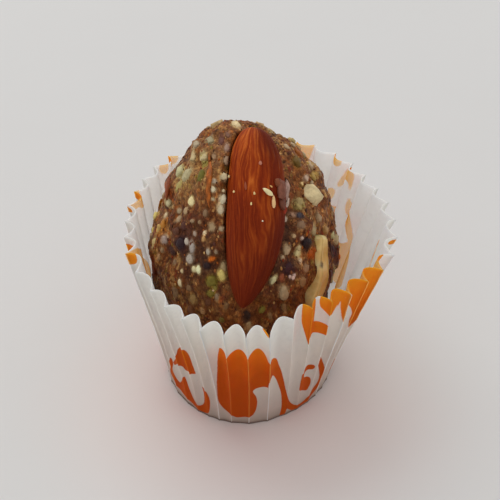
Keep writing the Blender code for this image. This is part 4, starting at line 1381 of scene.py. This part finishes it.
GREENS = [
    (201, 176.5, 6.5, 12, -16, (104, 98, 38)), (205.5, 164.3, 5, 9, -10, (158, 142, 74)),
    (204.0, 159.5, 4, 6, 0, (170, 158, 92)), (179.2, 185.7, 8, 8.5, 10, (158, 142, 84)),
    (297, 161.4, 6.5, 8, 0, (104, 80, 32)), (313.5, 176, 4, 7.5, 0, (182, 152, 86)),
    (211.6, 281.4, 9.5, 11, 0, (120, 108, 40)), (210.6, 293.5, 8, 6, 0, (114, 100, 38)),
    (221.8, 320, 5, 5, 0, (112, 94, 40)), (299, 206, 6, 6, 30, (132, 114, 58)),
    (215, 288, 4, 5, 0, (130, 116, 54)),
]
SHRED = (209.3, 181, 5.2, 56, (150, 82, 28))
print(len(FRUIT), "fruit bits and", len(GREENS), "green bits are listed")

# %% [markdown]
# The sides and the back are hidden in the photograph. They are the same mince, so the same kinds are scattered
# there with a fixed seed, evenly apart, at the sizes and in the colours of the listed ones. A place too near to the
# paper is left empty, so that no bit pokes through it.

# %% Scattering the rest
SCATTER_LOWEST = 12.0 * MM
SCATTER_APART = 1.35 * MM
SCATTER_COUNT = 270
SCATTER_LARGER = 1.2
SCATTER_LONGEST = 16.0
SCATTER_TURN = 35.0
SCATTER_MARGIN = 0.8 * MM
CASE_MARGIN = 0.75 * MM
SEEN_FACING = 0.10
SCATTER_DRAWS = ("seed",) * 32 + ("nut",) * 42 + ("fruit",) * 20 + ("green",) * 6
CRUMBS = 1500
CRUMB_SIZES = (0.20 * MM, 0.48 * MM)
CRUMB_LENGTHS = (1.2, 2.0)
CRUMB_THICK = 0.6
CRUMB_SINK = 0.55
CRUMB_TURN = 25.0
CRUMB_MARGIN = 0.3 * MM
SLICE_BELOW = -4.0 * MM
START_OUTSIDE = 3.0
BITS_SEED = 21
LISTED = {"seed": SEEDS, "nut": NUTS, "fruit": FRUIT, "green": GREENS}
SHAPES = {"seed": SEED_SHAPES, "nut": NUT_SHAPES, "fruit": FRUIT_SHAPES, "green": NUT_SHAPES}
THICK = {"seed": 0.62, "nut": 0.62, "fruit": 0.5, "green": 0.55}
SINK = {"seed": 0.52, "nut": 0.62, "fruit": 0.70, "green": 0.62}


def random_place(rng):
    """A random place on the paste, and which way the ball faces there."""
    direction = Vector([rng.gauss(0.0, 1.0) for _ in range(3)]).normalized()
    start = BALL_MIDDLE + Vector((direction.x * BALL_HALF[0], direction.y * BALL_HALF[1],
                                  direction.z * (BALL_TOP - BALL_MIDDLE.z))) * START_OUTSIDE
    hit = PASTE_TREE.ray_cast(start, (BALL_MIDDLE - start).normalized())[0]
    return hit, smooth_normal(hit)


CASE_TREE = tree_of(CASE.data)


def is_free(point, margin):
    """Whether a place is high enough and clear of the paper, the almond and the nut slice."""
    if point.z < SCATTER_LOWEST or beside_almond(point) < margin:
        return False
    local = INTO_SLICE @ point
    beside = abs(local.x) > SLICE_HALF[0] + margin or abs(local.y) > SLICE_HALF[1] + margin
    return (beside or local.z < SLICE_BELOW) and CASE_TREE.find_nearest(point)[3] >= CASE_MARGIN


def all_bits(rng):
    """Every bit by kind: the listed ones first, then the scattered ones for the sides and the back."""
    placed = {kind: lay_listed(LISTED[kind], on_paste, paste_stretch, SHAPES[kind], rng, THICK[kind], SINK[kind])
              for kind in LISTED}
    taken = []
    while len(taken) < SCATTER_COUNT:
        point, normal = random_place(rng)
        seen = normal.dot(-FORWARD) > SEEN_FACING
        crowded = any((point - other).length < SCATTER_APART for other in taken)
        if seen or crowded or not is_free(point, SCATTER_MARGIN):
            continue
        taken.append(point)
        kind = rng.choice(SCATTER_DRAWS)
        _, _, width, height, _, colour = rng.choice(LISTED[kind])
        wide, long = width * PIXEL * SCATTER_LARGER, min(height, SCATTER_LONGEST) * PIXEL * SCATTER_LARGER
        turn = rng.uniform(-SCATTER_TURN, SCATTER_TURN)
        matrix = lie(point, normal, wide, long, THICK[kind] * min(wide, long), turn, SINK[kind])
        placed[kind].append((rng.randrange(len(SHAPES[kind])), matrix, Vector(colour)))
    return placed


def crumbs(rng):
    """Tiny crumbs all over, which roughen the paste."""
    placed = []
    while len(placed) < CRUMBS:
        point, normal = random_place(rng)
        if not is_free(point, CRUMB_MARGIN):
            continue
        size = CRUMB_SIZES[0] + (CRUMB_SIZES[1] - CRUMB_SIZES[0]) * rng.random() ** 2.0
        long = size * rng.uniform(*CRUMB_LENGTHS)
        turn = rng.uniform(-CRUMB_TURN, CRUMB_TURN)
        matrix = lie(point, normal, size, long, size * CRUMB_THICK, turn, CRUMB_SINK)
        placed.append((rng.randrange(len(CRUMB_SHAPES)), matrix, mince_colour(rng.random())))
    return placed


BITS_RNG = random.Random(BITS_SEED)
PLACED = all_bits(BITS_RNG)
print({kind: len(bits) for kind, bits in PLACED.items()}, "bits laid")

# %% [markdown]
# Now the grain. Each of the two Voronoi mosaics lifts the middle of its grains, leaves their edges low and gives
# each grain a colour. Then the patches are blended in, and round each bit the paste takes some of the bit's colour,
# because the paste is pressed: a bit is cut flush and fades into what holds it.

# %% The paste
HALO = (0.85, 1.45)
HALO_SEARCH = 1.1
HALO_COLOUR, HALO_CREVICE, HALO_RISE = 0.85, 0.8, 0.05 * MM
WARP_SIZE, WARP_BY = 1.2 * MM, 0.3 * MM
EDGE_WIDTH = 0.5
GRAIN_PROUD = (0.55, 0.9, 0.75)
CREVICE_SHADE_DEPTHS = (0.6, 0.4)
FINER_KEPT = 0.35
FINER_COLOUR = 0.85
PATCH_LARGER = 1.6


def mosaic(point, size):
    """The grain that a point is in: its middle, and how far inside its edge the point is, 0 at the edge."""
    stretched = Vector((point.x * GRAIN_STRETCH.x, point.y * GRAIN_STRETCH.y, point.z * GRAIN_STRETCH.z)) / size
    distances, middles = noise.voronoi(stretched)
    return middles[0], min(1.0, (distances[1] - distances[0]) / EDGE_WIDTH)


def grain_at(point):
    """The mince at a point: how far it rises, how dark its crevice is painted as shade, and its colour."""
    rise = crevice = 0.0
    warped = point + noise.noise_vector(point / WARP_SIZE) * WARP_BY
    for index, (size, height) in enumerate(MINCE_GRAINS):
        middle, inside = mosaic(warped, size)
        dome = 1.0 - (1.0 - inside) ** 2
        rise += height * (dome * (GRAIN_PROUD[0] + GRAIN_PROUD[1] * own_share(middle, 3)) - GRAIN_PROUD[2])
        crevice = max(crevice, (1.0 - inside) ** 3 * CREVICE_SHADE_DEPTHS[index])
        drawn = MINCE_MIDDLE.lerp(mince_colour(own_share(middle, 1)), GRAIN_CONTRAST)
        if index == 0:
            colour = drawn
        elif own_share(middle, 2) > FINER_KEPT:
            colour = colour.lerp(drawn, FINER_COLOUR)
    return rise, crevice, colour


def patch_places():
    """Where the patches lie on the ball."""
    return [(hit_paste(*pixel), PATCH_LARGER * radius * PIXEL, Vector(colour), strength)
            for pixel, radius, colour, strength in PATCHES]


def knead_paste(bm, normals, patches, placed):
    """Give the craggy ball its grain, its colours and its pockets."""
    colours, crevices, rises = [], [], []
    for vert in bm.verts:
        rise, crevice, colour = grain_at(vert.co)
        for centre, radius, patch, strength in patches:
            near = (vert.co - centre).length / radius
            if near < 1.0:
                colour = colour.lerp(patch, strength * (1.0 - near ** 2))
        colours.append(colour)
        crevices.append(crevice)
        rises.append(rise)
    for _, matrix, own in [bit for bits in placed.values() for bit in bits]:
        back = matrix.inverted()
        reach = HALO[1] * 0.5 * max(matrix.to_scale()[:2])
        for place, index, _ in PASTE_POINTS.find_range(matrix.translation, reach * HALO_SEARCH):
            local = back @ place
            off = 2.0 * math.hypot(local.x, local.y)
            share = max(0.0, min(1.0, (HALO[1] - off) / (HALO[1] - HALO[0])))
            colours[index] = colours[index].lerp(own, HALO_COLOUR * share)
            crevices[index] *= 1.0 - HALO_CREVICE * share
            rises[index] += HALO_RISE * share
    tints = bm.verts.layers.float_color.new("tint")
    sunk = bm.verts.layers.float.new("crevice")
    for index, vert in enumerate(bm.verts):
        vert[tints] = paint(*colours[index])
        # the crevice strength that the shader paints dark as shade
        vert[sunk] = crevices[index]
        vert.co = press_pockets(vert.co + normals[index] * rises[index])
        vert.co.z = min(max(vert.co.z, BALL_REST), CAD_BOX[1][2] - BELOW_TOP)


knead_paste(PASTE_BM, PASTE_NORMALS, patch_places(), PLACED)
print("patches and", sum(len(bits) for bits in PLACED.values()), "halos painted")

# %% [markdown]
# The shader adds what is too small for the mesh: grains of a quarter of a millimetre that vary the colour, and a
# fine bump. The paste is moist with fruit sugar, so it isn't matt: its roughness wanders from a wet gleam to dull.

# %% Paste material
PASTE_GRAIN = 2600.0
PASTE_STRETCH = (1.25, 1.0, 0.78)
# The brightest specks are partly pale crumbs of nut and partly painted glints of the moist paste.
SPECKS_AND_GLINTS = ((0.0, (0.42, 0.32, 0.22, 1)), (0.3, (0.84, 0.76, 0.66, 1)), (0.75, (1.18, 1.12, 1.0, 1)),
          (1.0, (2.0, 1.95, 1.75, 1)))
SMALL_SPECKS_AND_GLINTS = ((0.0, (0.56, 0.48, 0.42, 1)), (0.6, (1.0, 0.98, 0.92, 1)), (1.0, (1.7, 1.66, 1.5, 1)))
FINE_CREVICE_SHADE, MESH_CREVICE_SHADE = 0.14, 0.42
WET_PER_METRE = 700.0
WET_RANGE = {"From Min": 0.3, "From Max": 0.7, "To Min": 0.42, "To Max": 0.72}


def moist_paste():
    """Minced fruit and nut: the stored colour of each grain, finer grain over it, pale specks that are partly
    painted glints, crevices painted dark as shade, a moist gleam.
    """
    material, tree, shader = new_material("moist_paste", Specular_IOR_Level=0.16)
    place = object_place(tree, stretch=PASTE_STRETCH)
    fine, finer = grained(tree, place, PASTE_GRAIN), grained(tree, place, PASTE_GRAIN * 2.1)
    # pale specks of the mince, partly painted glints
    colour = blend(tree, 0.55, stored(tree, "tint", "Color"), ramp(tree, fine["Value"], *SPECKS_AND_GLINTS), "MULTIPLY")
    colour = blend(tree, 0.50, colour, ramp(tree, finer["Value"], *SMALL_SPECKS_AND_GLINTS), "MULTIPLY")
    # painted shade: the crevices of both grain sizes are painted dark
    deep = sums(tree, "MULTIPLY", stored(tree, "crevice"), MESH_CREVICE_SHADE)
    dark = sums(tree, "MULTIPLY_ADD", fine["Crevice"], FINE_CREVICE_SHADE, deep, clamp=True)
    colour = mottled(tree, place, blend(tree, dark, colour, paint(*CREVICE_SHADE)), 950.0, 0.30)
    tree.links.new(mottled(tree, place, colour, 260.0, 0.22), shader.inputs["Base Color"])
    wet = soft_noise(tree, place, WET_PER_METRE, 3.0)
    gleam = node(tree, "ShaderNodeMapRange", {"Value": wet, **WET_RANGE}).outputs["Result"]
    tree.links.new(gleam, shader.inputs["Roughness"])
    raise_bumps(tree, shader, sums(tree, "MULTIPLY_ADD", finer["Height"], 0.4, fine["Height"]), 0.6, 0.05 * MM)
    return material


PASTE = finish_piece(mesh_of(PASTE_BM, "pressed_paste"), "pressed_paste", moist_paste(),
                     "pinni_ball")
print("paste:", triangles(PASTE), "triangles")

# %% [markdown]
# Each kind of bit has a finish of its own, with its mottle, its grain and how much it shines.

# %% The bits as pieces
FINISHES = {
    "seed": bit_material("pale_seed_skin", 0.14, 1500.0, 0.02 * MM, 0.02, 0.5),
    "nut": bit_material("broken_nut", 0.25, 1300.0, 0.03 * MM, 0.0, 0.58),
    "fruit": bit_material("dried_fruit", 0.35, 1100.0, 0.04 * MM, 0.03, 0.5),
    "green": bit_material("pistachio_flesh", 0.25, 1400.0, 0.03 * MM, 0.0, 0.52),
}
PIECE_NAMES = {"seed": "pale_seeds", "nut": "nut_bits", "fruit": "fruit_bits", "green": "pistachio_bits"}
BIT_SPREAD, CRUMB_SHADES = 0.06, 0.1


def bit_pieces(rng):
    """Join each kind into a piece, and then the crumbs."""
    for kind, bits in PLACED.items():
        piece = joined_piece(bits, SHAPES[kind], PIECE_NAMES[kind], FINISHES[kind], BIT_SPREAD, rng)
        print(piece.name, triangles(piece), "triangles")
    piece = joined_piece(crumbs(rng), CRUMB_SHAPES, "mince_crumbs", FINISHES["nut"], CRUMB_SHADES, rng)
    print(piece.name, triangles(piece), "triangles")


bit_pieces(BITS_RNG)

# %% [markdown]
# The long orange shred is bent, so it isn't one of the shapes above: it is a bar that follows the ball.

# %% The long shred of fruit
SHRED_CUTS = 24
SHRED_EDGE = 0.18
SHRED_THICK = 0.36 * MM
SHRED_LIFT = 0.25
SHRED_SWAY = (1.6, 5.0, 2.5)
SHRED_TAPER = (0.12, 3.4)
SHRED_KNOTS = (0.25, 17.0)
SHRED_STREAKS = (0.2, 23.0, 4.0)


def fruit_shred():
    """A long thin shred that lies on the paste beside the pistachio flake: a bar that follows the ball."""
    x, middle, width, height, colour = SHRED
    bm = bmesh.new()
    bmesh.ops.create_cube(bm, size=1.0)
    long_edges = [edge for edge in bm.edges if abs(edge.verts[0].co.y - edge.verts[1].co.y) > 0.5]
    bmesh.ops.subdivide_edges(bm, edges=long_edges, cuts=SHRED_CUTS, use_grid_fill=True)
    bmesh.ops.bevel(bm, geom=[edge for edge in bm.edges if edge.calc_face_angle(0.0) > 1.0], offset=SHRED_EDGE,
                    segments=2, profile=0.5, affect="EDGES", material=-1)
    tints = bm.verts.layers.float_color.new("tint")
    for vert in bm.verts:
        share = vert.co.y
        sway = SHRED_SWAY[0] * math.sin(share * SHRED_SWAY[1]) - SHRED_SWAY[2] * share
        hit, normal = on_paste(x + sway, middle - share * height)
        across = axes_on(normal)[0]
        taper = max(SHRED_TAPER[0], 1.0 - SHRED_TAPER[1] * share ** 2)
        taper *= 1.0 + SHRED_KNOTS[0] * math.sin(share * SHRED_KNOTS[1])
        streak = SHRED_STREAKS[0] * math.sin(share * SHRED_STREAKS[1] + vert.co.x * SHRED_STREAKS[2])
        vert[tints] = paint(*(Vector(colour) * (1.0 + streak)))
        lift = normal * (vert.co.z + SHRED_LIFT) * SHRED_THICK * taper
        vert.co = hit + across * vert.co.x * width * PIXEL * taper + lift
    bmesh.ops.smooth_vert(bm, verts=bm.verts, factor=0.5, use_axis_x=True, use_axis_y=True, use_axis_z=True)
    bmesh.ops.recalc_face_normals(bm, faces=bm.faces)
    return finish_piece(mesh_of(bm, "fruit_shred"), "fruit_shred", FINISHES["fruit"], "pinni_ball")


print("shred:", triangles(fruit_shred()), "triangles")

# %% [markdown]
# ## The almond
#
# A whole almond in its brown skin lies on the face of the ball, tip down. Its skin dries into long wavy ridges that
# fan out from the tip: their crests are light orange-brown and the furrows between them dark red-brown. It starts
# as a ball drawn out into a flat drop, as in the CAD model, with far more segments. The meridians of that ball meet
# at the tip, so noise that is stretched along them fans out by itself, and the same number lifts the skin and
# colours it, which keeps colour and relief together.

# %% The almond's form
ALMOND_SEGMENTS = (224, 150)
SKIN_RELIEF = 0.10 * MM
SKIN_SINK = 0.15 * MM
SKIN_SLANT = 0.42
SKIN_HOOK = 0.62
SKIN_SWAYS = ((0.17, 1.6, 2.4), (0.06, 5.0, 7.0))
BROAD, FINE, THIN, LOWERED = 0.40, 0.78, 0.32, 0.44


def noise_round(turn, share, round_count, along, shift=0.0):
    """Noise on a cylinder, so that it closes round the almond."""
    return noise.noise(Vector((math.cos(turn) * round_count, math.sin(turn) * round_count, share * along + shift)))


def wavy_line(turn, share, round_count, along, sharpness, shift):
    """Thin forking lines: 1 where a stretched noise crosses its middle value, and 0 off the line."""
    return max(0.0, 1.0 - abs(noise_round(turn, share, round_count, along, shift)) * sharpness)


def skin_streak(angle, share):
    """The skin's ridges: -1 deep in a furrow and 1 on a crest, round the almond and along it."""
    slant = SKIN_SLANT * share - SKIN_HOOK * max(0.0, share) ** 2
    sway = sum(size * noise_round(angle, share, count, along) for size, count, along in SKIN_SWAYS)
    turn = angle + slant + sway
    broad = noise_round(turn, share, 5.0, 1.2, 4.0)
    fine = wavy_line(turn, share, 8.5, 1.5, 4.0, 9.0)
    thin = wavy_line(turn, share, 16.0, 3.0, 3.4, 2.0)
    return max(-1.0, min(1.0, BROAD * broad + FINE * fine + THIN * thin - LOWERED))


print("ridge at the middle of the almond's front:", round(skin_streak(-math.pi / 2.0, 0.0), 2))

# %% Almond skin material
SKIN_COLOURS = ((0.05, (94, 25, 5)), (0.30, (114, 35, 7)), (0.52, (134, 48, 10)), (0.74, (158, 68, 18)),
                (0.95, (182, 92, 32)))
SKIN_SHADE = (82, 22, 6)
FIBRE_STRETCH = (1.0, 1.0, 0.14)
FIBRE_SHARE = 0.30


def almond_skin():
    """Wavy ridges in light and dark brown, with the painted shade and painted top light that the points store, fine
    fibres along the nut, and a faint sheen.
    """
    material, tree, shader = new_material("almond_skin", Specular_IOR_Level=0.08)
    own = object_place(tree, turn=tuple(ALMOND_PLACE.to_3x3().inverted().to_euler()))
    along = node(tree, "ShaderNodeMapping", {"Vector": own, "Scale": FIBRE_STRETCH}).outputs["Vector"]
    fibre = soft_noise(tree, along, 4200.0, 4.0, Roughness=0.65)
    centred = sums(tree, "SUBTRACT", stored(tree, "streak"), FIBRE_SHARE / 2.0)
    value = sums(tree, "MULTIPLY_ADD", fibre, FIBRE_SHARE, centred, clamp=True)
    colour = ramp(tree, value, *[(stop, paint(*brown)) for stop, brown in SKIN_COLOURS])
    colour = mottled(tree, own, blend(tree, stored(tree, "shade"), colour, paint(*SKIN_SHADE)), 320.0, 0.12)
    tree.links.new(mottled(tree, own, colour, 2600.0, 0.12), shader.inputs["Base Color"])
    sheen = node(tree, "ShaderNodeMapRange", {"Value": value, "To Min": 0.66, "To Max": 0.52}).outputs["Result"]
    tree.links.new(sheen, shader.inputs["Roughness"])
    raise_bumps(tree, shader, fibre, 0.55, 0.06 * MM)
    return material


ALMOND_SKIN = almond_skin()
print("material:", ALMOND_SKIN.name)

# %% [markdown]
# The skin is painted darker as shade near the blunt end on the right, towards the tip and along the right edge, and
# painted lighter at the top where the light falls. Those painted shades are stored on the points too.

# %% The almond
# Painted shade on the skin, and painted light at its top.
SHADE_AT = Vector((-0.55, 0.86))
SHADE_SIZE = (0.72, 0.60)
SHADE_TOP, SHADE_MOST = 0.8, 0.85
LOW_SHADE = (0.5, 1.3, 0.66)
RIGHT_SHADE = (0.35, 0.65, 0.55)
TOP_LIGHT = 0.22
RELIEF_FROM_TIP = 1.6


def whole_almond():
    """The almond in its ridged skin, laid at its place on the ball."""
    bm = bmesh.new()
    bmesh.ops.create_uvsphere(bm, u_segments=ALMOND_SEGMENTS[0], v_segments=ALMOND_SEGMENTS[1], radius=1.0)
    streaks_and_top_light = bm.verts.layers.float.new("streak")
    shades = bm.verts.layers.float.new("shade")
    for vert in bm.verts:
        share = max(-1.0, min(1.0, vert.co.z))
        angle = math.atan2(vert.co.y, vert.co.x)
        half = almond_half(share)
        streak = skin_streak(angle, share)
        relief = SKIN_RELIEF * min(1.0, half * RELIEF_FROM_TIP) * streak - SKIN_SINK * half
        width = ALMOND_HALF[0] * half + relief
        thick = ALMOND_HALF[1] * half ** ALMOND_THICK_POWER + relief
        bend = ALMOND_BEND * (1.0 - share ** 2)
        bow = -ALMOND_BOW * (1.0 - share ** 2)
        across = math.cos(angle)
        # painted shade and painted light on the skin: darker near the blunt end on the right, towards the tip and
        # along the right edge, lighter towards the top
        off = math.hypot((across - SHADE_AT.x) / SHADE_SIZE[0], (share - SHADE_AT.y) / SHADE_SIZE[1])
        vert[streaks_and_top_light] = 0.5 + 0.5 * streak + TOP_LIGHT * max(0.0, share)
        low = max(0.0, min(1.0, (LOW_SHADE[0] - share) / LOW_SHADE[1]))
        right = max(0.0, (-across - RIGHT_SHADE[0]) / RIGHT_SHADE[1])
        shade = SHADE_TOP * max(0.0, 1.0 - off) + LOW_SHADE[2] * low + RIGHT_SHADE[2] * right
        vert[shades] = min(SHADE_MOST, shade)
        vert.co = Vector((width * across + bow, thick * math.sin(angle) + bend, share * ALMOND_LENGTH / 2.0))
    bmesh.ops.transform(bm, verts=bm.verts, matrix=ALMOND_PLACE)
    bmesh.ops.recalc_face_normals(bm, faces=bm.faces)
    return finish_piece(mesh_of(bm, "whole_almond"), "whole_almond", ALMOND_SKIN, "almond")


ALMOND = whole_almond()
print("almond:", triangles(ALMOND), "triangles")

# %% [markdown]
# Two seeds and a few specks of the mince cling to the almond. They are laid on it as the bits are laid on the
# paste, by the ray of their pixel. At the almond's right edge the paste was pressed over it: a flake of fruit and a
# paler strip lap from the paste onto the skin, so they are laid on whichever of the two the ray meets first. The
# pale chunk of nut further to the right is larger than the other bits and stands proud, and is laid the same way.

# %% Seeds on the almond
CLINGING = [
    (268, 192, 4.6, 11.5, 52, (228, 208, 162)), (273.4, 202, 3.6, 12, 2, (222, 184, 132)),
    (260.2, 163, 3, 4, 0, (172, 112, 92)), (234, 191.7, 2, 2.4, 0, (228, 196, 140)),
    (254.4, 193.3, 2, 3, 10, (232, 202, 142)), (251.2, 203.7, 1.7, 3, 0, (242, 202, 142)),
    (245.7, 186, 2.4, 8, 5, (146, 74, 48)), (262.5, 221, 1.6, 1.6, 0, (232, 214, 190)),
    (271, 186.5, 1.6, 3, 60, (222, 176, 110)),
]
LAPPING = [
    (280.8, 191, 9.5, 22, 6, (118, 72, 56)), (286.0, 189, 5.0, 22, -6, (170, 140, 128)),
    (286.8, 203, 4.0, 12, -10, (186, 166, 152)), (281.5, 203, 6.5, 12, 10, (108, 62, 46)),
    (284.2, 210, 4.5, 8, -12, (136, 44, 20)), (310.5, 193.5, 18.5, 21, -35, (206, 188, 146)),
    (277.5, 183, 7, 9, 25, (120, 66, 40)),
]
GRAZING = 0.75
TURNED_TO_EYE = 0.6
LEAST_SLOPE = 0.6
ON_ALMOND = (0.8, 0.28)
ON_EDGE = (0.8, 0.45)


def place_on(tree):
    """Finds a pixel's place on what a tree holds; where that is seen edge on, the normal is turned to the eye."""
    def find(x, y):
        hit, normal, _, _ = tree.ray_cast(EYE, pixel_ray(x, y))
        return hit, normal.lerp(-FORWARD, TURNED_TO_EYE).normalized() if normal.dot(-FORWARD) < GRAZING else normal
    return find


def edge_stretch(slope):
    """How much a bit on the almond is lengthened for its slope."""
    return 1.0 / max(LEAST_SLOPE, slope)


CLING_RNG = random.Random(BITS_SEED)
CLING = joined_piece(
    lay_listed(CLINGING, place_on(tree_of(ALMOND.data)), edge_stretch, SEED_SHAPES, CLING_RNG, *ON_ALMOND),
    SEED_SHAPES, "seeds_on_almond", FINISHES["seed"], 0.03, CLING_RNG, "almond")
LAPS = joined_piece(
    lay_listed(LAPPING, place_on(tree_of(ALMOND.data, PASTE.data)), edge_stretch, NUT_SHAPES, CLING_RNG, *ON_EDGE),
    NUT_SHAPES, "fruit_over_edge", FINISHES["fruit"], 0.03, CLING_RNG)
print("clinging seeds:", triangles(CLING), "and lapping fruit:", triangles(LAPS), "triangles")

# %% [markdown]
# ## The nut slice
#
# A long narrow shaving of pale nut lies along the right of the ball. It looks waxy and a little greasy, cream with
# paler and yellower clouds, with a broken wavy edge and one small dark nick. The CAD solid has its size and curve.
# Here a block is cut to the same form, its edges are bevelled, and a Subdivision Surface modifier rounds it off.

# %% Nut slice material
SLICE_COLOURS = ((0.32, (188, 148, 72)), (0.5, (214, 183, 114)), (0.68, (232, 210, 154)))
NICK_COLOUR = (58, 30, 14)


def cut_nut():
    """Waxy cream nut, clouded, with the dark nick that the points store."""
    material, tree, shader = new_material(
        "cut_nut", Roughness=0.42, Subsurface_Weight=0.08, Subsurface_Scale=0.001)
    place = object_place(tree)
    clouds = soft_noise(tree, place, 330.0, 4.0)
    colour = ramp(tree, clouds, *[(stop, paint(*cream)) for stop, cream in SLICE_COLOURS])
    colour = blend(tree, stored(tree, "nick"), colour, paint(*NICK_COLOUR))
    tree.links.new(mottled(tree, place, colour, 1500.0, 0.10), shader.inputs["Base Color"])
    raise_bumps(tree, shader, grained(tree, place, 2200.0)["Height"], 0.35, 0.04 * MM)
    return material


CUT_NUT = cut_nut()
print("material:", CUT_NUT.name)

# %% [markdown]
# The block is cut along and across, so that it can bend and be rough. Its edges are bevelled before it is laid on
# the ball, and the nick is a small dark dent at the pixel where the photograph shows it.

# %% The nut slice
SLICE_EDGE = 0.5 * MM
SLICE_CUTS = (25, 9)
SLICE_SHARP = math.radians(50.0)
SLICE_ROUGH = ((2.4 * MM, 0.22 * MM), (0.9 * MM, 0.17 * MM))
SLICE_INWARD = 0.08 * MM
NICK_PIXEL = (322.0, 265.0)
NICK_REACH = 0.42 * MM
NICK_DEPTH = 0.15 * MM
NICK_DARK = 1.6


def shaving():
    """A block cut along and across, bent and roughened, and laid at its place on the ball."""
    bm = bmesh.new()
    bmesh.ops.create_cube(bm, size=2.0)
    for axis, cuts in enumerate(SLICE_CUTS):
        edges = [edge for edge in bm.edges if abs(edge.verts[0].co[axis] - edge.verts[1].co[axis]) > 1.0]
        bmesh.ops.subdivide_edges(bm, edges=edges, cuts=cuts, use_grid_fill=True)
    for vert in bm.verts:
        taper = 1.0 - SLICE_TAPER * vert.co.x ** 2
        wobble = SLICE_WOBBLE * math.sin(SLICE_WAVES * vert.co.x + 1.0)
        place = vert.co.x * SLICE_HALF[0]
        side = vert.co.y * SLICE_HALF[1] * taper + wobble
        vert.co = Vector((place, side, vert.co.z * SLICE_HALF[2] - place ** 2 / (2.0 * SLICE_CURVE)))
    bmesh.ops.bevel(bm, geom=[edge for edge in bm.edges if edge.calc_face_angle(0.0) > SLICE_SHARP],
                    offset=SLICE_EDGE, segments=3, profile=0.5, affect="EDGES", loop_slide=True, material=-1)
    bmesh.ops.transform(bm, verts=bm.verts, matrix=SLICE_PLACE)
    bmesh.ops.recalc_face_normals(bm, faces=bm.faces)
    bm.normal_update()
    nicks = bm.verts.layers.float.new("nick")
    hit = BVHTree.FromBMesh(bm).ray_cast(EYE, pixel_ray(*NICK_PIXEL))[0]
    for vert in bm.verts:
        rough = sum(height * noise.noise(vert.co / size) for size, height in SLICE_ROUGH)
        near = max(0.0, 1.0 - (vert.co - hit).length / NICK_REACH) if hit else 0.0
        vert[nicks] = min(1.0, near * NICK_DARK)
        vert.co += vert.normal * (rough - SLICE_INWARD - NICK_DEPTH * near)
    piece = finish_piece(mesh_of(bm, "nut_shaving"), "nut_shaving", CUT_NUT, "nut_slice")
    smooth = piece.modifiers.new("rounded", "SUBSURF")
    smooth.levels = smooth.render_levels = 1
    return piece


SHAVING = shaving()
print("nut slice:", triangles(SHAVING), "faces before it is rounded")

# %% [markdown]
# ## Size
#
# The paste and the joined bits are kept below the top of the CAD model's box, and that box is printed here in mm.

# %% Size of the CAD model
print("CAD box (mm):", [rounded_mm(corner, 2) for corner in CAD_BOX])
